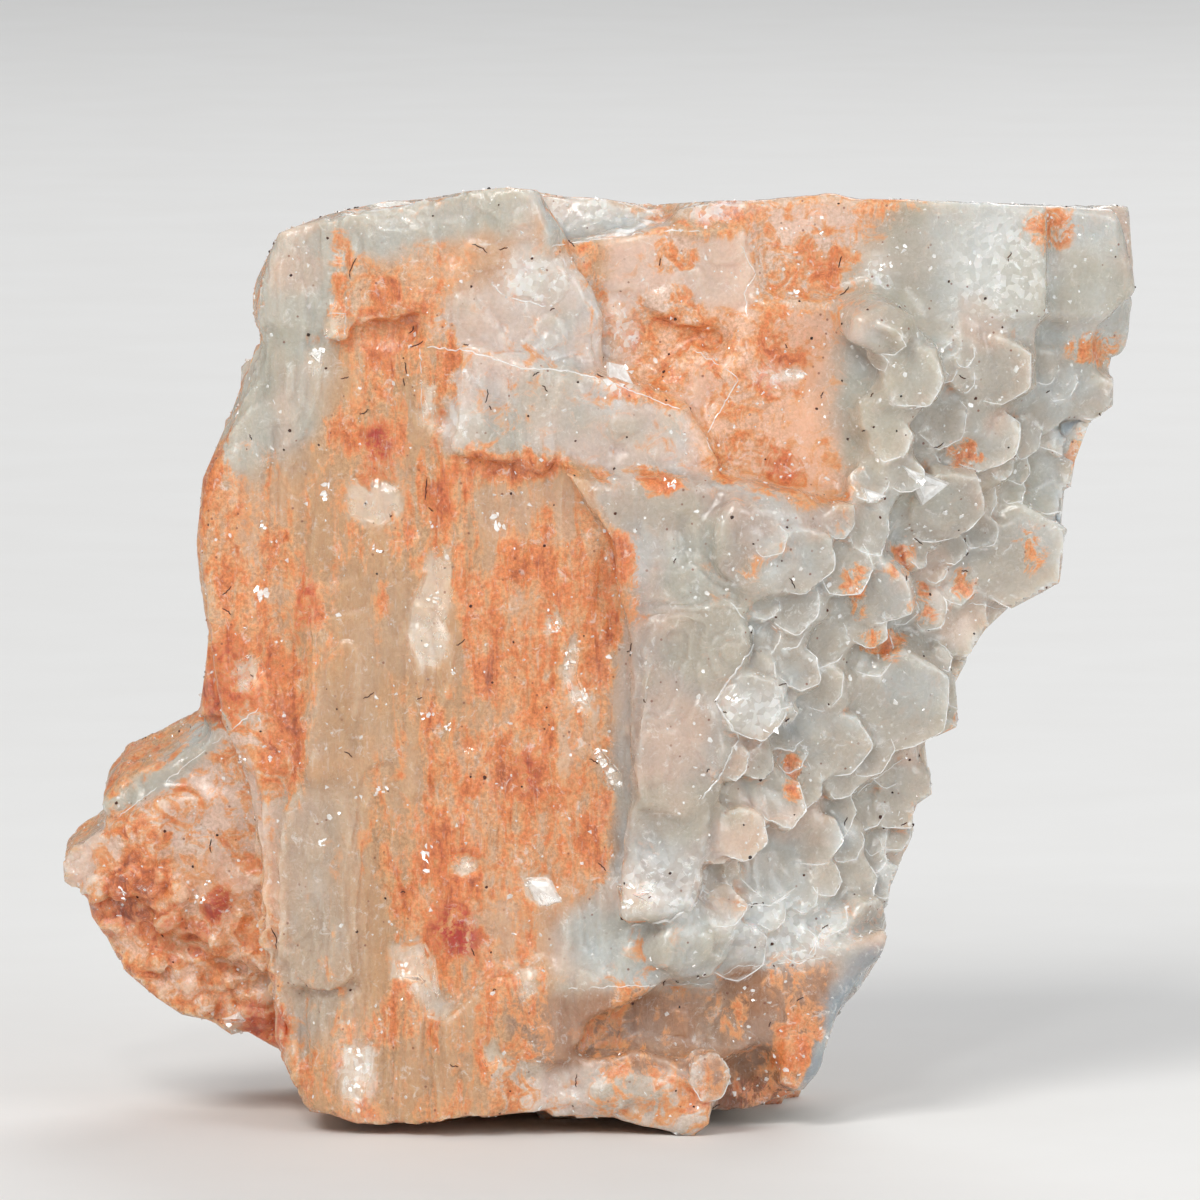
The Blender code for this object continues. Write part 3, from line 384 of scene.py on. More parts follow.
def skin_over(piece, cell):
    """One closed skin of small even faces round everything that the piece's mesh holds."""
    skin = piece.modifiers.new("skin", "REMESH")
    skin.mode = "VOXEL"
    skin.voxel_size = cell
    apply_modifiers(piece)


def mesh_arrays(mesh):
    """A mesh's points and its triangles, as arrays."""
    points = np.empty(len(mesh.vertices) * 3)
    mesh.vertices.foreach_get("co", points)
    mesh.calc_loop_triangles()
    faces = np.empty(len(mesh.loop_triangles) * 3, int)
    mesh.loop_triangles.foreach_get("vertices", faces)
    return points.reshape(-1, 3), faces.reshape(-1, 3)


def move_points(piece, points):
    piece.data.vertices.foreach_set("co", np.ascontiguousarray(points).ravel())
    piece.data.update()


def on_flank(points):
    """1 on the right-hand flank of crystal ends, 0 on the trunk, for arrays of points."""
    return smooth_step(points[:, 0] - 0.28 * (points[:, 2] - 20 * MM), 4 * MM, 10 * MM)


def fused_body(source):
    """The solid with the narrow gaps between its crystals grown shut, as they are in the real stone.

    Its skin is pushed out until the sides of each gap meet, skinned over, and pushed back in.
    """
    body = bpy.data.objects.new("stone", source.data.copy())
    bpy.context.collection.objects.link(body)
    skin_over(body, BODY_CELL)
    for direction in (1, -1):
        points, faces = mesh_arrays(body.data)
        _, normals = corner_normals(points, faces)
        reach = GAP_ON_TRUNK + (GAP_ON_FLANK - GAP_ON_TRUNK) * on_flank(points)
        move_points(body, points + direction * normals * reach[:, None])
        if direction == 1:
            skin_over(body, BODY_CELL)
    return body


def joined_meshes(*meshes):
    """The points and faces of several meshes in one list each."""
    points, faces, count = [], [], 0
    for some_points, some_faces in meshes:
        points.append(np.asarray(some_points))
        faces += [[i + count for i in f] for f in some_faces]
        count += len(some_points)
    return np.vstack(points), faces


def corner_normals(points, faces):
    """The unit normal of each face, and the area-weighted unit normal at each point."""
    a, b, c = (points[faces[:, i]] for i in range(3))
    face_normal = np.cross(b - a, c - a)
    normal = np.zeros_like(points)
    for i in range(3):
        np.add.at(normal, faces[:, i], face_normal)
    normal /= np.maximum(np.linalg.norm(normal, axis=1, keepdims=True), 1e-20)
    face_normal /= np.maximum(np.linalg.norm(face_normal, axis=1, keepdims=True), 1e-20)
    return face_normal, normal


def edge_sharpness(points, faces):
    """At each point, the sharpest convex edge (0 to 1) and concave edge (0 to -1) that meet there."""
    face_normal, _ = corner_normals(points, faces)
    sides = np.sort(faces[:, [[0, 1], [1, 2], [2, 0]]].reshape(-1, 2), axis=1)
    edges, edge_of_side = np.unique(sides, axis=0, return_inverse=True)
    order = np.argsort(edge_of_side, kind="stable")
    counts = np.bincount(edge_of_side)
    starts = np.concatenate([[0], np.cumsum(counts)[:-1]])
    pair = counts == 2
    first, second = order[starts[pair]] // 3, order[starts[pair] + 1] // 3
    bend = 1 - (face_normal[first] * face_normal[second]).sum(1)
    across = points[faces[second]].mean(axis=1) - points[faces[first]].mean(axis=1)
    outward = (across * face_normal[first]).sum(1)
    signed = np.where(outward < 0, 1.0, -1.0) * smooth_step(bend, 0.02, 0.25)
    convex, concave = np.zeros(len(points)), np.zeros(len(points))
    for i in range(2):
        np.maximum.at(convex, edges[pair][:, i], signed)
        np.minimum.at(concave, edges[pair][:, i], signed)
    return convex, concave


def spread(value, faces, rounds):
    """Blurs a number held at each point over its neighbours."""
    for _ in range(rounds):
        total, count = value.copy(), np.ones(len(value))
        for i, j in ((0, 1), (1, 2), (2, 0)):
            np.add.at(total, faces[:, i], value[faces[:, j]])
            np.add.at(count, faces[:, i], 1)
        value = total / count
    return value


def in_outline(px, py, corners, softness):
    """1 inside an outline drawn in the photograph's pixels and 0 outside, softly, for arrays of places."""
    here = np.stack([px, py], 1)
    nearest = np.full(len(px), np.inf)
    crossings = np.zeros(len(px), int)
    for (ax, ay), (bx, by) in zip(corners, corners[1:] + corners[:1]):
        side = np.array([bx - ax, by - ay], float)
        along = np.clip((here - (ax, ay)) @ side / (side @ side), 0, 1)
        nearest = np.minimum(nearest, np.linalg.norm(here - (ax, ay) - along[:, None] * side, axis=1))
        if ay != by:
            crossings += ((ay > py) != (by > py)) & (px < (bx - ax) * (py - ay) / (by - ay) + ax)
    return smooth_step(np.where(crossings % 2 == 1, nearest, -nearest), -softness, softness)


def in_box(px, py, box, softness=0.45):
    """1 in the middle of an oval that fills a box in the photograph's pixels, falling to 0 outside it."""
    x0, y0, x1, y1 = box
    reach = np.hypot((px - (x0 + x1) / 2) / (0.5 * (x1 - x0) + 2), (py - (y0 + y1) / 2) / (0.5 * (y1 - y0) + 2))
    return 1 - smooth_step(reach, 1 - softness, 1 + softness)


def mixed(a, b, share):
    """Colours a turned into b, one colour or one for each point, by a share at each point."""
    return a + (np.asarray(b) - a) * share[:, None]


def paint(points, normals):
    """What every point of the stone is like: its colour, stain, dark red, fibre and frost, each from 0 to 1."""
    # The colour holds painted shade under the ledges and a painted reflection under the clear crystals.
    px, py, _ = pixels_of(points)
    wobble_x = 13 * noise(points, 5 * MM, 31, 2) + 6 * noise(points, 1.3 * MM, 33, 2)
    wobble_y = 13 * noise(points, 5 * MM, 35, 2) + 6 * noise(points, 1.3 * MM, 37, 2)
    px, py = px + wobble_x, py + wobble_y
    facing = smooth_step(-normals @ np.array(FORWARD), -0.05, 0.3)
    upright = 1 - smooth_step(np.abs(normals[:, 2]), 0.5, 0.9)

    count = len(points)
    broad = noise(points, (19 * MM, 19 * MM, 34 * MM), 41, 2)
    rightness = smooth_step(points[:, 0] + 9 * MM * broad, -8 * MM, 22 * MM)
    colour = mixed(np.tile(BEIGE, (count, 1)), FLANK, rightness)
    stain = 0.3 - 0.24 * rightness + 0.34 * broad
    fibre = upright * (1 - 0.8 * rightness)

    front_colour = np.tile(BEIGE, (count, 1))
    front_stain = np.full(count, 0.38)
    front_fibre = np.ones(count)
    for corners, softness, tint, stained, fibrous in REGIONS:
        share = in_outline(px, py, corners, softness)
        front_colour = mixed(front_colour, tint, share)
        front_stain += (stained - front_stain) * share
        front_fibre += (fibrous - front_fibre) * share
    deep = np.zeros(count)
    for x0, y0, x1, y1, change, red in STAINS:
        share = in_box(px, py, (x0, y0, x1, y1))
        front_stain += change * share
        deep = np.maximum(deep, red * share)
    frost_and_highlight = np.zeros(count)
    for box in FROSTED:
        frost_and_highlight = np.maximum(frost_and_highlight, in_box(px, py, box))

    # Painted reflection: under each clear crystal the stone is painted pale, with little stain and no fibre, for
    # the light inside the crystal.
    for corners, _ in WINDOWS:
        share = in_outline(px, py, corners, 4)
        front_colour = mixed(front_colour, PANE_PAINTED_REFLECTION, 0.85 * share)
        front_stain *= 1 - 0.8 * share
        front_fibre *= 1 - share

    colour = mixed(colour, front_colour, facing)
    stain += (front_stain - stain) * facing
    fibre += (front_fibre - fibre) * facing
    streaky = noise(points, (1.5 * MM, 1.5 * MM, 8 * MM), 43, 3)
    patchy = noise(points, (4.5 * MM, 4.5 * MM, 8 * MM), 45, 3)
    stain += (0.46 * fibre * streaky + 0.4 * patchy) * smooth_step(stain, 0.02, 0.3)
    pale = 1 - smooth_step(colour[:, 0] - colour[:, 2], 0.14, 0.3)
    for veil, wavelength, seed in ((COOL_VEIL, 4 * MM, 47), (WARM_VEIL, 5 * MM, 53), (GREEN_VEIL, 6 * MM, 55)):
        cover = smooth_step(noise(points, wavelength, seed, 3), 0.02, 0.42)
        colour = mixed(colour, veil, cover * (0.12 + 0.48 * pale))
    colour *= 1 + 0.13 * noise(points, 2.6 * MM, 49, 3)[:, None]
    return dict(tint=np.clip(colour, 0, 0.95), stain=np.clip(stain, 0, 1), crimson=np.clip(deep * facing, 0, 1),
                fibre=np.clip(fibre, 0, 1), frost_and_highlight=np.clip(frost_and_highlight * facing, 0, 1))


def stepped(value):
    """The value with its slopes gathered into steps, one for each whole number."""
    return np.floor(value) + smooth_step(value - np.floor(value), 0.42, 0.58)


def relief(points, normals, convex):
    """How far each point of the fine mesh moves, as a field in space, so that the surface stays closed."""
    px, py, _ = pixels_of(points)
    front = smooth_step(-normals[:, 1], 0.0, 0.5)
    trunk = front * in_outline(px, py, TRUNK, 16)
    wing = in_outline(px, py, WING, 12)
    wing *= 1 - 0.85 * in_outline(px, py, WING_FACET, 14)
    crystals = smooth_step(points[:, 0], 8 * MM, 20 * MM)
    upright = 1 - smooth_step(np.abs(normals[:, 2]), 0.5, 0.9)
    sides = upright * (1 - crystals)

    slab_at_left = front * in_outline(px, py, LEFT_SLAB, 20)

    gentle = np.stack([noise(points, 4.5 * MM, s, 2) for s in (1, 2, 3)], 1)
    ragged = np.stack([noise(points, 1.25 * MM, s, 2) for s in (5, 6, 7)], 1)
    move = gentle * (0.2 - 0.08 * crystals)[:, None] + ragged * (0.1 + 0.16 * convex + 0.22 * wing)[:, None]

    ribs = noise(points, (1.4 * MM, 1.4 * MM, 15 * MM), 9, 2)
    columns = stepped(noise(points, (3.4 * MM, 3.4 * MM, 14 * MM), 11, 2) * 4)
    terraces = stepped(noise(points, (5.5 * MM, 5.5 * MM, 4.5 * MM), 17, 2) * 4)
    chips = np.maximum(0, noise(points, (2.2 * MM, 2.2 * MM, 4 * MM), 13, 2) - 0.22)
    bumps = np.abs(noise(points, 2.4 * MM, 15, 2))
    fibrous = sides * np.maximum(trunk, 1 - front)
    outward = fibrous * (0.26 * ribs + 0.2 * columns) + (1 - fibrous) * (1 - crystals) * 0.2 * terraces
    outward -= 0.8 * chips * (1 - 0.7 * crystals)
    outward += crystals * (0.12 * bumps - 0.06) + wing * (0.8 * bumps - 0.3)
    move += normals * outward[:, None] + np.array(FORWARD) * slab_at_left[:, None]
    move *= MM * (1 - 0.35 * convex)[:, None]
    move *= smooth_step(points[:, 2], 0, 1.2 * MM)[:, None]
    return move


def corner_cut(points):
    """The points, with those outside the slanting top left corner moved back to it, as the eye sees them."""
    for (ax, ay), (bx, by) in zip(CORNER, CORNER[1:]):
        px, py, _ = pixels_of(points)
        along_x, along_y = np.array([bx - ax, by - ay]) / math.hypot(bx - ax, by - ay)
        outside = np.maximum(0, (px - ax) * along_y - (py - ay) * along_x)[:, None] * PIXEL
        points = points - outside * (along_y * np.array(RIGHT) + along_x * np.array(UPWARD))
    return points


def trimmed(points, solid):
    """The points that relief or a crystal pushes past the solid's outline, as the photograph's eye sees it,
    pulled back to the solid."""
    eye = eye_point()
    kept = points.copy()
    for i in range(len(points)):
        place = Vector(points[i])
        if solid.ray_cast(eye, place - eye)[0] is None:
            kept[i] = solid.find_nearest(place)[0]
    return kept


def bounded(points):
    """The points kept inside the solid's own box, so that the stone is no larger than the part."""
    return np.clip(points, np.array(cad_low), np.array(cad_high))


def mesh_object(name, points, faces):
    mesh = bpy.data.meshes.new(name)
    mesh.from_pydata(np.asarray(points).tolist(), [], [list(map(int, f)) for f in faces])
    mesh.update()
    piece = bpy.data.objects.new(name, mesh)
    bpy.context.collection.objects.link(piece)
    return piece


def thin_out(piece, triangles, unseen_triangles):
    """Fewer triangles: first on the sides that the photograph doesn't show, then all over."""
    points, faces = mesh_arrays(piece.data)
    unseen = corner_normals(points, faces)[1] @ np.array(FORWARD) > -0.1
    group = piece.vertex_groups.new(name="unseen")
    group.add(np.flatnonzero(unseen).tolist(), 1.0, "REPLACE")
    hidden = int(unseen[faces].all(axis=1).sum())
    first = len(faces) - max(0, hidden - unseen_triangles)
    for target, name in ((first, group.name), (triangles, "")):
        share = target / len(mesh_arrays(piece.data)[1])
        if share < 1:
            thinner = piece.modifiers.new("thinner", "DECIMATE")
            thinner.ratio = share
            thinner.vertex_group = name
            thinner.vertex_group_factor = 1000.0
            apply_modifiers(piece)


def set_attributes(mesh, looks):
    """Stores the painted numbers on the mesh's points, where the materials read them."""
    for name, value in looks.items():
        if value.ndim == 2:
            layer = mesh.color_attributes.new(name, "FLOAT_COLOR", "POINT")
            layer.data.foreach_set("color", np.hstack([value, np.ones((len(value), 1))]).ravel())
        else:
            layer = mesh.attributes.new(name, "FLOAT", "POINT")
            layer.data.foreach_set("value", value)


def shade(piece, angle, material):
    """Smooth shading with edges sharper than an angle left crisp, and the piece's material."""
    piece.data.polygons.foreach_set("use_smooth", np.ones(len(piece.data.polygons), bool))
    piece.data.set_sharp_from_angle(angle=math.radians(angle))
    piece.data.materials.append(material)


def take_on(piece):
    """Makes the piece part of the object, under the body's empty."""
    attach(piece, BODY)


def new_material(name):
    material = bpy.data.materials.new(name)
    material.use_nodes = True
    tree = material.node_tree
    return material, tree, tree.nodes["Principled BSDF"]


class Wiring:
    """Short ways to add nodes to a material."""

    def __init__(self, tree):
        self.tree = tree

    def link(self, value, socket):
        if isinstance(value, bpy.types.NodeSocket):
            self.tree.links.new(value, socket)
        else:
            socket.default_value = value

    def node(self, kind, **settings):
        made = self.tree.nodes.new(kind)
        for name, value in settings.items():
            setattr(made, name, value)
        return made

    def attribute(self, name, colour=False):
        made = self.node("ShaderNodeAttribute", attribute_name=name)
        return made.outputs["Color" if colour else "Fac"]

    def place(self, scale):
        """The piece's own coordinates, with each direction scaled so that a pattern can be stretched."""
        made = self.node("ShaderNodeMapping")
        self.link(self.node("ShaderNodeTexCoord").outputs["Object"], made.inputs["Vector"])
        made.inputs["Scale"].default_value = scale
        return made.outputs["Vector"]

    def noise(self, vector, scale, detail, roughness, distortion=0.0):
        made = self.node("ShaderNodeTexNoise")
        self.link(vector, made.inputs["Vector"])
        for name, value in (("Scale", scale), ("Detail", detail), ("Roughness", roughness),
                            ("Distortion", distortion)):
            made.inputs[name].default_value = value
        return made.outputs["Fac"]

    def cells(self, vector, scale, output="Distance"):
        made = self.node("ShaderNodeTexVoronoi")
        self.link(vector, made.inputs["Vector"])
        made.inputs["Scale"].default_value = scale
        return made.outputs[output]

    def fit(self, value, low, high, to_low=0.0, to_high=1.0, smooth=True):
        """The value's run from low to high stretched over another run, and held there outside it."""
        made = self.node("ShaderNodeMapRange", interpolation_type="SMOOTHSTEP" if smooth else "LINEAR")
        for number, amount in enumerate((value, low, high, to_low, to_high)):
            self.link(amount, made.inputs[number])
        return made.outputs["Result"]

    def maths(self, operation, a, b):
        made = self.node("ShaderNodeMath", operation=operation)
        self.link(a, made.inputs[0])
        self.link(b, made.inputs[1])
        return made.outputs["Value"]

    def mix(self, share, a, b, blend="MIX"):
        made = self.node("ShaderNodeMix", data_type="RGBA", blend_type=blend)
        self.link(share, made.inputs["Factor"])
        for value, socket in ((a, made.inputs["A"]), (b, made.inputs["B"])):
            self.link(value if isinstance(value, bpy.types.NodeSocket) else (*value, 1.0), socket)
        return made.outputs["Result"]

    def bump(self, height, strength, distance, normal=None):
        made = self.node("ShaderNodeBump")
        self.link(height, made.inputs["Height"])
        made.inputs["Strength"].default_value = strength
        made.inputs["Distance"].default_value = distance
        if normal is not None:
            self.link(normal, made.inputs["Normal"])
        return made.outputs["Normal"]


def stone_material():
    """Milky apophyllite: pale stone with iron in its fibres, painted shade in its creases, frost, white rims as
    painted highlights, and a glassy lustre.
    """
    material, tree, shader = new_material("milky_apophyllite_stone")
    wire = Wiring(tree)
    fibre, stain = wire.attribute("fibre"), wire.attribute("stain")
    crimson, frost_and_highlight = wire.attribute("crimson"), wire.attribute("frost_and_highlight")
    plain = wire.place((1, 1, 1))

    streak = wire.noise(wire.place((1, 1, 0.3)), 1 / (1.1 * MM), 7, 0.66, 0.9)
    needles = wire.noise(wire.place((1, 1, 0.14)), 1 / (0.24 * MM), 2, 0.6, 0.6)
    mottle = wire.noise(plain, 1 / (1.7 * MM), 8, 0.7, 0.8)
    fine = wire.noise(plain, 1 / (0.3 * MM), 4, 0.7, 0.3)
    grain = wire.node("ShaderNodeMix", data_type="FLOAT")
    for value, socket in ((wire.maths("MULTIPLY", fibre, 0.6), "Factor"), (mottle, "A"), (streak, "B")):
        wire.link(value, grain.inputs[socket])
    grain = wire.fit(grain.outputs["Result"], 0.36, 0.64, -0.7, 0.7, smooth=False)

    # The stain attribute also holds painted shade in the creases, so these ramps darken them as well.
    swing = wire.fit(stain, 0.0, 0.35, 0.16, 1.0)
    iron = wire.maths("ADD", stain, wire.maths("MULTIPLY", grain, swing))
    colour = wire.mix(wire.fit(iron, 0.12, 0.5), wire.attribute("tint", True), WARM)
    colour = wire.mix(wire.fit(iron, 0.42, 0.86), colour, ORANGE)
    colour = wire.mix(wire.maths("MULTIPLY", wire.fit(iron, 0.85, 1.3), 0.8), colour, RUST)
    colour = wire.mix(wire.maths("MULTIPLY", wire.fit(iron, 1.2, 1.7), 0.75), colour, DARK)
    reds = wire.fit(wire.maths("ADD", mottle, fine), 0.9, 1.08)
    colour = wire.mix(wire.maths("MULTIPLY", crimson, reds), colour, CRIMSON)

    grit = wire.fit(stain, 0.03, 0.5, 0.2, 0.85)
    colour = wire.mix(grit, colour, wire.mix(wire.fit(fine, 0.3, 0.7), (0.72, 0.65, 0.56), (1.22, 1.23, 1.24)),
                      "MULTIPLY")
    thread_light = wire.maths("MULTIPLY", fibre, wire.fit(needles, 0.6, 0.74, 0.0, 0.4))
    colour = wire.mix(thread_light, colour, MILK)
    cloudy = wire.fit(wire.noise(plain, 1 / (0.9 * MM), 7, 0.78, 0.8), 0.55, 0.67)
    colour = wire.mix(wire.maths("MULTIPLY", cloudy, 0.42), colour, FROST_AND_HIGHLIGHT)
    crackle = wire.cells(plain, 1 / (0.5 * MM), "Color")
    # The frost attribute also holds rims whitened as painted highlights, so this whitens them with the frost.
    whitened = wire.maths("MULTIPLY", frost_and_highlight, wire.fit(wire.maths("ADD", crackle, cloudy), 0.2, 1.2, 0.2, 1.0))
    colour = wire.mix(whitened, colour, FROST_AND_HIGHLIGHT)
    specks = wire.fit(wire.cells(plain, 1 / (1.1 * MM)), 0.07, 0.12, 1.0, 0.0)
    sparse = wire.fit(wire.noise(plain, 1 / (4 * MM), 2, 0.5), 0.4, 0.6)
    colour = wire.mix(wire.maths("MULTIPLY", wire.maths("MULTIPLY", specks, sparse), 0.7), colour, DARK)
    wire.link(colour, shader.inputs["Base Color"])

    rough = wire.maths("ADD", wire.fit(mottle, 0.36, 0.64, 0.12, 0.3), wire.maths("MULTIPLY", grit, 0.14))
    wire.link(wire.maths("SUBTRACT", rough, wire.maths("MULTIPLY", frost_and_highlight, 0.08)), shader.inputs["Roughness"])
    shader.inputs["IOR"].default_value = IOR
    wire.link(wire.fit(stain, 0.0, 0.5, 0.9, 0.65), shader.inputs["Subsurface Weight"])
    shader.inputs["Subsurface Radius"].default_value = (1.0, 0.72, 0.55)
    shader.inputs["Subsurface Scale"].default_value = 3.2 * MM
    shader.inputs["Coat Weight"].default_value = 0.2
    shader.inputs["Coat Roughness"].default_value = 0.07

    lines = wire.maths("ADD", streak, wire.maths("MULTIPLY", needles, 0.2))
    normal = wire.bump(wire.maths("MULTIPLY", lines, fibre), 0.6, 0.35 * MM)
    normal = wire.bump(wire.maths("MULTIPLY", mottle, grit), 0.6, 0.3 * MM, normal)
    cracked = wire.maths("MULTIPLY", crackle, wire.fit(frost_and_highlight, 0.0, 0.8, 0.25, 1.0))
    normal = wire.bump(cracked, 0.6, 0.08 * MM, normal)
    wire.link(normal, shader.inputs["Normal"])
    return material


def clear_material():
    """Colourless apophyllite that one sees through, clear in some places and cloudy in others."""
    material, tree, shader = new_material("clear_apophyllite")
    wire = Wiring(tree)
    plain = wire.place((1, 1, 1))
    shader.inputs["Base Color"].default_value = (1.0, 0.99, 0.975, 1)
    shader.inputs["Transmission Weight"].default_value = 1.0
    shader.inputs["IOR"].default_value = IOR
    cloud = wire.noise(plain, 1 / (0.9 * MM), 4, 0.65, 0.6)
    wire.link(wire.fit(cloud, 0.42, 0.66, 0.05, 0.33), shader.inputs["Roughness"])
    wire.link(wire.bump(wire.noise(plain, 1 / (0.6 * MM), 3, 0.6, 0.3), 0.35, 0.08 * MM), shader.inputs["Normal"])
    inside = wire.node("ShaderNodeVolumeAbsorption")
    inside.inputs["Color"].default_value = (1.0, 0.9, 0.82, 1)
    inside.inputs["Density"].default_value = 60.0
    wire.link(inside.outputs["Volume"], tree.nodes["Material Output"].inputs["Volume"])
    return material


def flake_material():
    """Fresh cleavage, pearly white and glossy, that catches the light; on the rim threads this white is a painted
    highlight.
    """
    material, tree, shader = new_material("pearly_cleavage_and_rim_highlight")
    wire = Wiring(tree)
    plain = wire.place((1, 1, 1))
    tone = wire.fit(wire.noise(plain, 1 / (0.5 * MM), 3, 0.6), 0.35, 0.65)
    wire.link(wire.mix(tone, (0.78, 0.76, 0.73), (0.94, 0.94, 0.93)), shader.inputs["Base Color"])
    wire.link(wire.fit(tone, 0, 1, 0.06, 0.2), shader.inputs["Roughness"])
    shader.inputs["IOR"].default_value = IOR
    shader.inputs["Specular IOR Level"].default_value = 0.75
    shader.inputs["Transmission Weight"].default_value = 0.25
    shader.inputs["Coat Weight"].default_value = 0.6
    shader.inputs["Coat Roughness"].default_value = 0.06
    wire.link(wire.bump(wire.noise(plain, 1 / (0.4 * MM), 2, 0.5), 0.2, 0.05 * MM), shader.inputs["Normal"])
    return material


def dust_material():
    material, tree, shader = new_material("dark_dust")
    wire = Wiring(tree)
    tone = wire.fit(wire.noise(wire.place((1, 1, 1)), 1 / (0.5 * MM), 2, 0.5), 0.35, 0.65)
    wire.link(wire.mix(tone, (0.018, 0.008, 0.006), (0.09, 0.03, 0.018)), shader.inputs["Base Color"])
    wire.link(wire.fit(tone, 0, 1, 0.55, 0.8), shader.inputs["Roughness"])
    return material


class Store:
    """Gathers many small closed shapes into one mesh."""

    def __init__(self):
        self.points, self.faces, self.frost_and_highlight, self.count = [], [], [], 0

    def add(self, points, faces, frost_and_highlight=None):
        self.points.append(np.asarray(points, float))
        self.frost_and_highlight.append(np.zeros(len(points)) if frost_and_highlight is None else np.asarray(frost_and_highlight, float))
        self.faces += [[i + self.count for i in f] for f in faces]
        self.count += len(points)

    def piece(self, name):
        made = mesh_object(name, bounded(np.vstack(self.points)), self.faces)
        return made, np.concatenate(self.frost_and_highlight)


def turned_to(axis, spin=0.0):
    """A rotation, as rows of x, y and z directions, whose z is the axis."""
    z = Vector(axis).normalized()
    x = Vector((0, 0, 1)).cross(z)
    if x.length < 0.05:
        x = Vector((1, 0, 0))
    x = x.normalized()
    y = z.cross(x)
    c, s = math.cos(spin), math.sin(spin)
    return np.array([x * c + y * s, y * c - x * s, z])


def rings(outlines):
    """Faces that join rings of equal length one after another, closed with a fan at each end's middle point."""
    count, length = len(outlines), len(outlines[0])
    faces = []
    for ring in range(count - 1):
        for i in range(length):
            j = (i + 1) % length
            faces.append([ring * length + i, ring * length + j, (ring + 1) * length + j, (ring + 1) * length + i])
    top, bottom = count * length, count * length + 1
    last = (count - 1) * length
    for i in range(length):
        j = (i + 1) % length
        faces.append([top, j, i])
        faces.append([bottom, last + i, last + j])
    return faces


class CrystalEnd:
    """A low six-sided crystal end with rounded corners: where it sits, and the outline of its end."""

    def __init__(self, centre, axis, radius, proud, rng):
        self.centre, self.radius, self.proud = np.array(centre), radius, proud
        self.frame = turned_to(axis, rng.uniform(0, math.pi / 3))
        self.stretch = rng.uniform(0.85, 1.2)
        sway = [rng.uniform(-0.1, 0.1) for _ in range(6)]
        self.sway = sway + sway[:1]
        self.tone = rng.uniform(-1, 1)

    def reach(self, angle):
        """How far the outline lies from the middle in each direction."""
        hexagon = math.cos(math.pi / 6) / np.cos(angle % (math.pi / 3) - math.pi / 6)
        uneven = 1 + np.interp(angle % math.tau, np.linspace(0, math.tau, 7), self.sway)
        return self.radius * (0.75 * hexagon + 0.25 * 0.93) * uneven

    def add_to(self, store):
        sunk = 1.6 * MM
        angle = np.arange(END_SIDES) * math.tau / END_SIDES
        outline = self.reach(angle)
        points = []
        for share, height in ((0.5, self.proud), (0.95, self.proud), (1.0, self.proud - 0.1 * MM), (1.02, -sunk)):
            points.append(np.stack([outline * share * np.cos(angle) * self.stretch,
                                    outline * share * np.sin(angle), np.full(END_SIDES, height)], 1))
        points.append(np.array([[0, 0, self.proud], [0, 0, -sunk]]))
        store.add(np.vstack(points) @ self.frame + self.centre, [f[::-1] for f in rings(points[:-1])])

    def mark(self, points, looks):
        """Whitens the rim as a painted highlight, most on its lit lower right, draws a growth line inside, and
        tones the end.
        """
        near = np.flatnonzero(np.linalg.norm(points - self.centre, axis=1) < 1.45 * self.radius)
        if not len(near):
            return
        local = (points[near] - self.centre) @ self.frame.T
        x, y = local[:, 0] / self.stretch, local[:, 1]
        out = np.hypot(x, y) / self.reach(np.arctan2(y, x))
        top = 1 - smooth_step(np.abs(local[:, 2] - self.proud), 0.35 * MM, 0.7 * MM)
        side = points[near] - self.centre
        lit_lower_right = smooth_step((side[:, 0] - 1.1 * side[:, 2]) / self.radius, -0.9, 0.5)
        # Painted highlight: the rim is whitened most on its lower right side, where the light catches it.
        rim_highlight = np.exp(-((out - 0.98) / (0.2 * MM / self.radius)) ** 2) * (0.25 + 0.75 * lit_lower_right)
        line = 0.3 * np.exp(-((out - 0.74) / (0.13 * MM / self.radius)) ** 2)
        looks["frost_and_highlight"][near] = np.maximum(looks["frost_and_highlight"][near], 0.8 * top * np.maximum(rim_highlight, line))
        inside = top * (1 - smooth_step(out, 0.9, 1.0))
        looks["tint"][near] *= 1 + (0.09 * self.tone * inside)[:, None] * np.array([1.0, 0.9, 0.75])


def small_crystal(store, centre, axis, radius, height, rng, sunk):
    """One small four-sided crystal with a blunt pyramid on it, as apophyllite grows."""
    turn = rng.uniform(0, math.pi / 2)
    angle = np.arange(8) * math.tau / 8 + np.tile([-0.16, 0.16], 4)
    wide = rng.uniform(0.7, 1.25)
    points, frost_and_highlight = [], []
    for share, up, white in ((0.35, height, 0.35), (1.0, height - 0.75 * radius, 0.5), (1.03, -sunk, 0.0)):
        points.append(np.stack([radius * share * np.cos(angle) * wide, radius * share * np.sin(angle),
                                np.full(8, up)], 1))
        frost_and_highlight.append(np.full(8, white))
    points.append(np.array([[0, 0, height], [0, 0, -sunk]]))
    frost_and_highlight.append(np.array([0.3, 0.0]))
    placed = np.vstack(points) @ turned_to(axis, turn) + np.array(centre)
    store.add(placed, [f[::-1] for f in rings(points[:-1])], np.concatenate(frost_and_highlight))


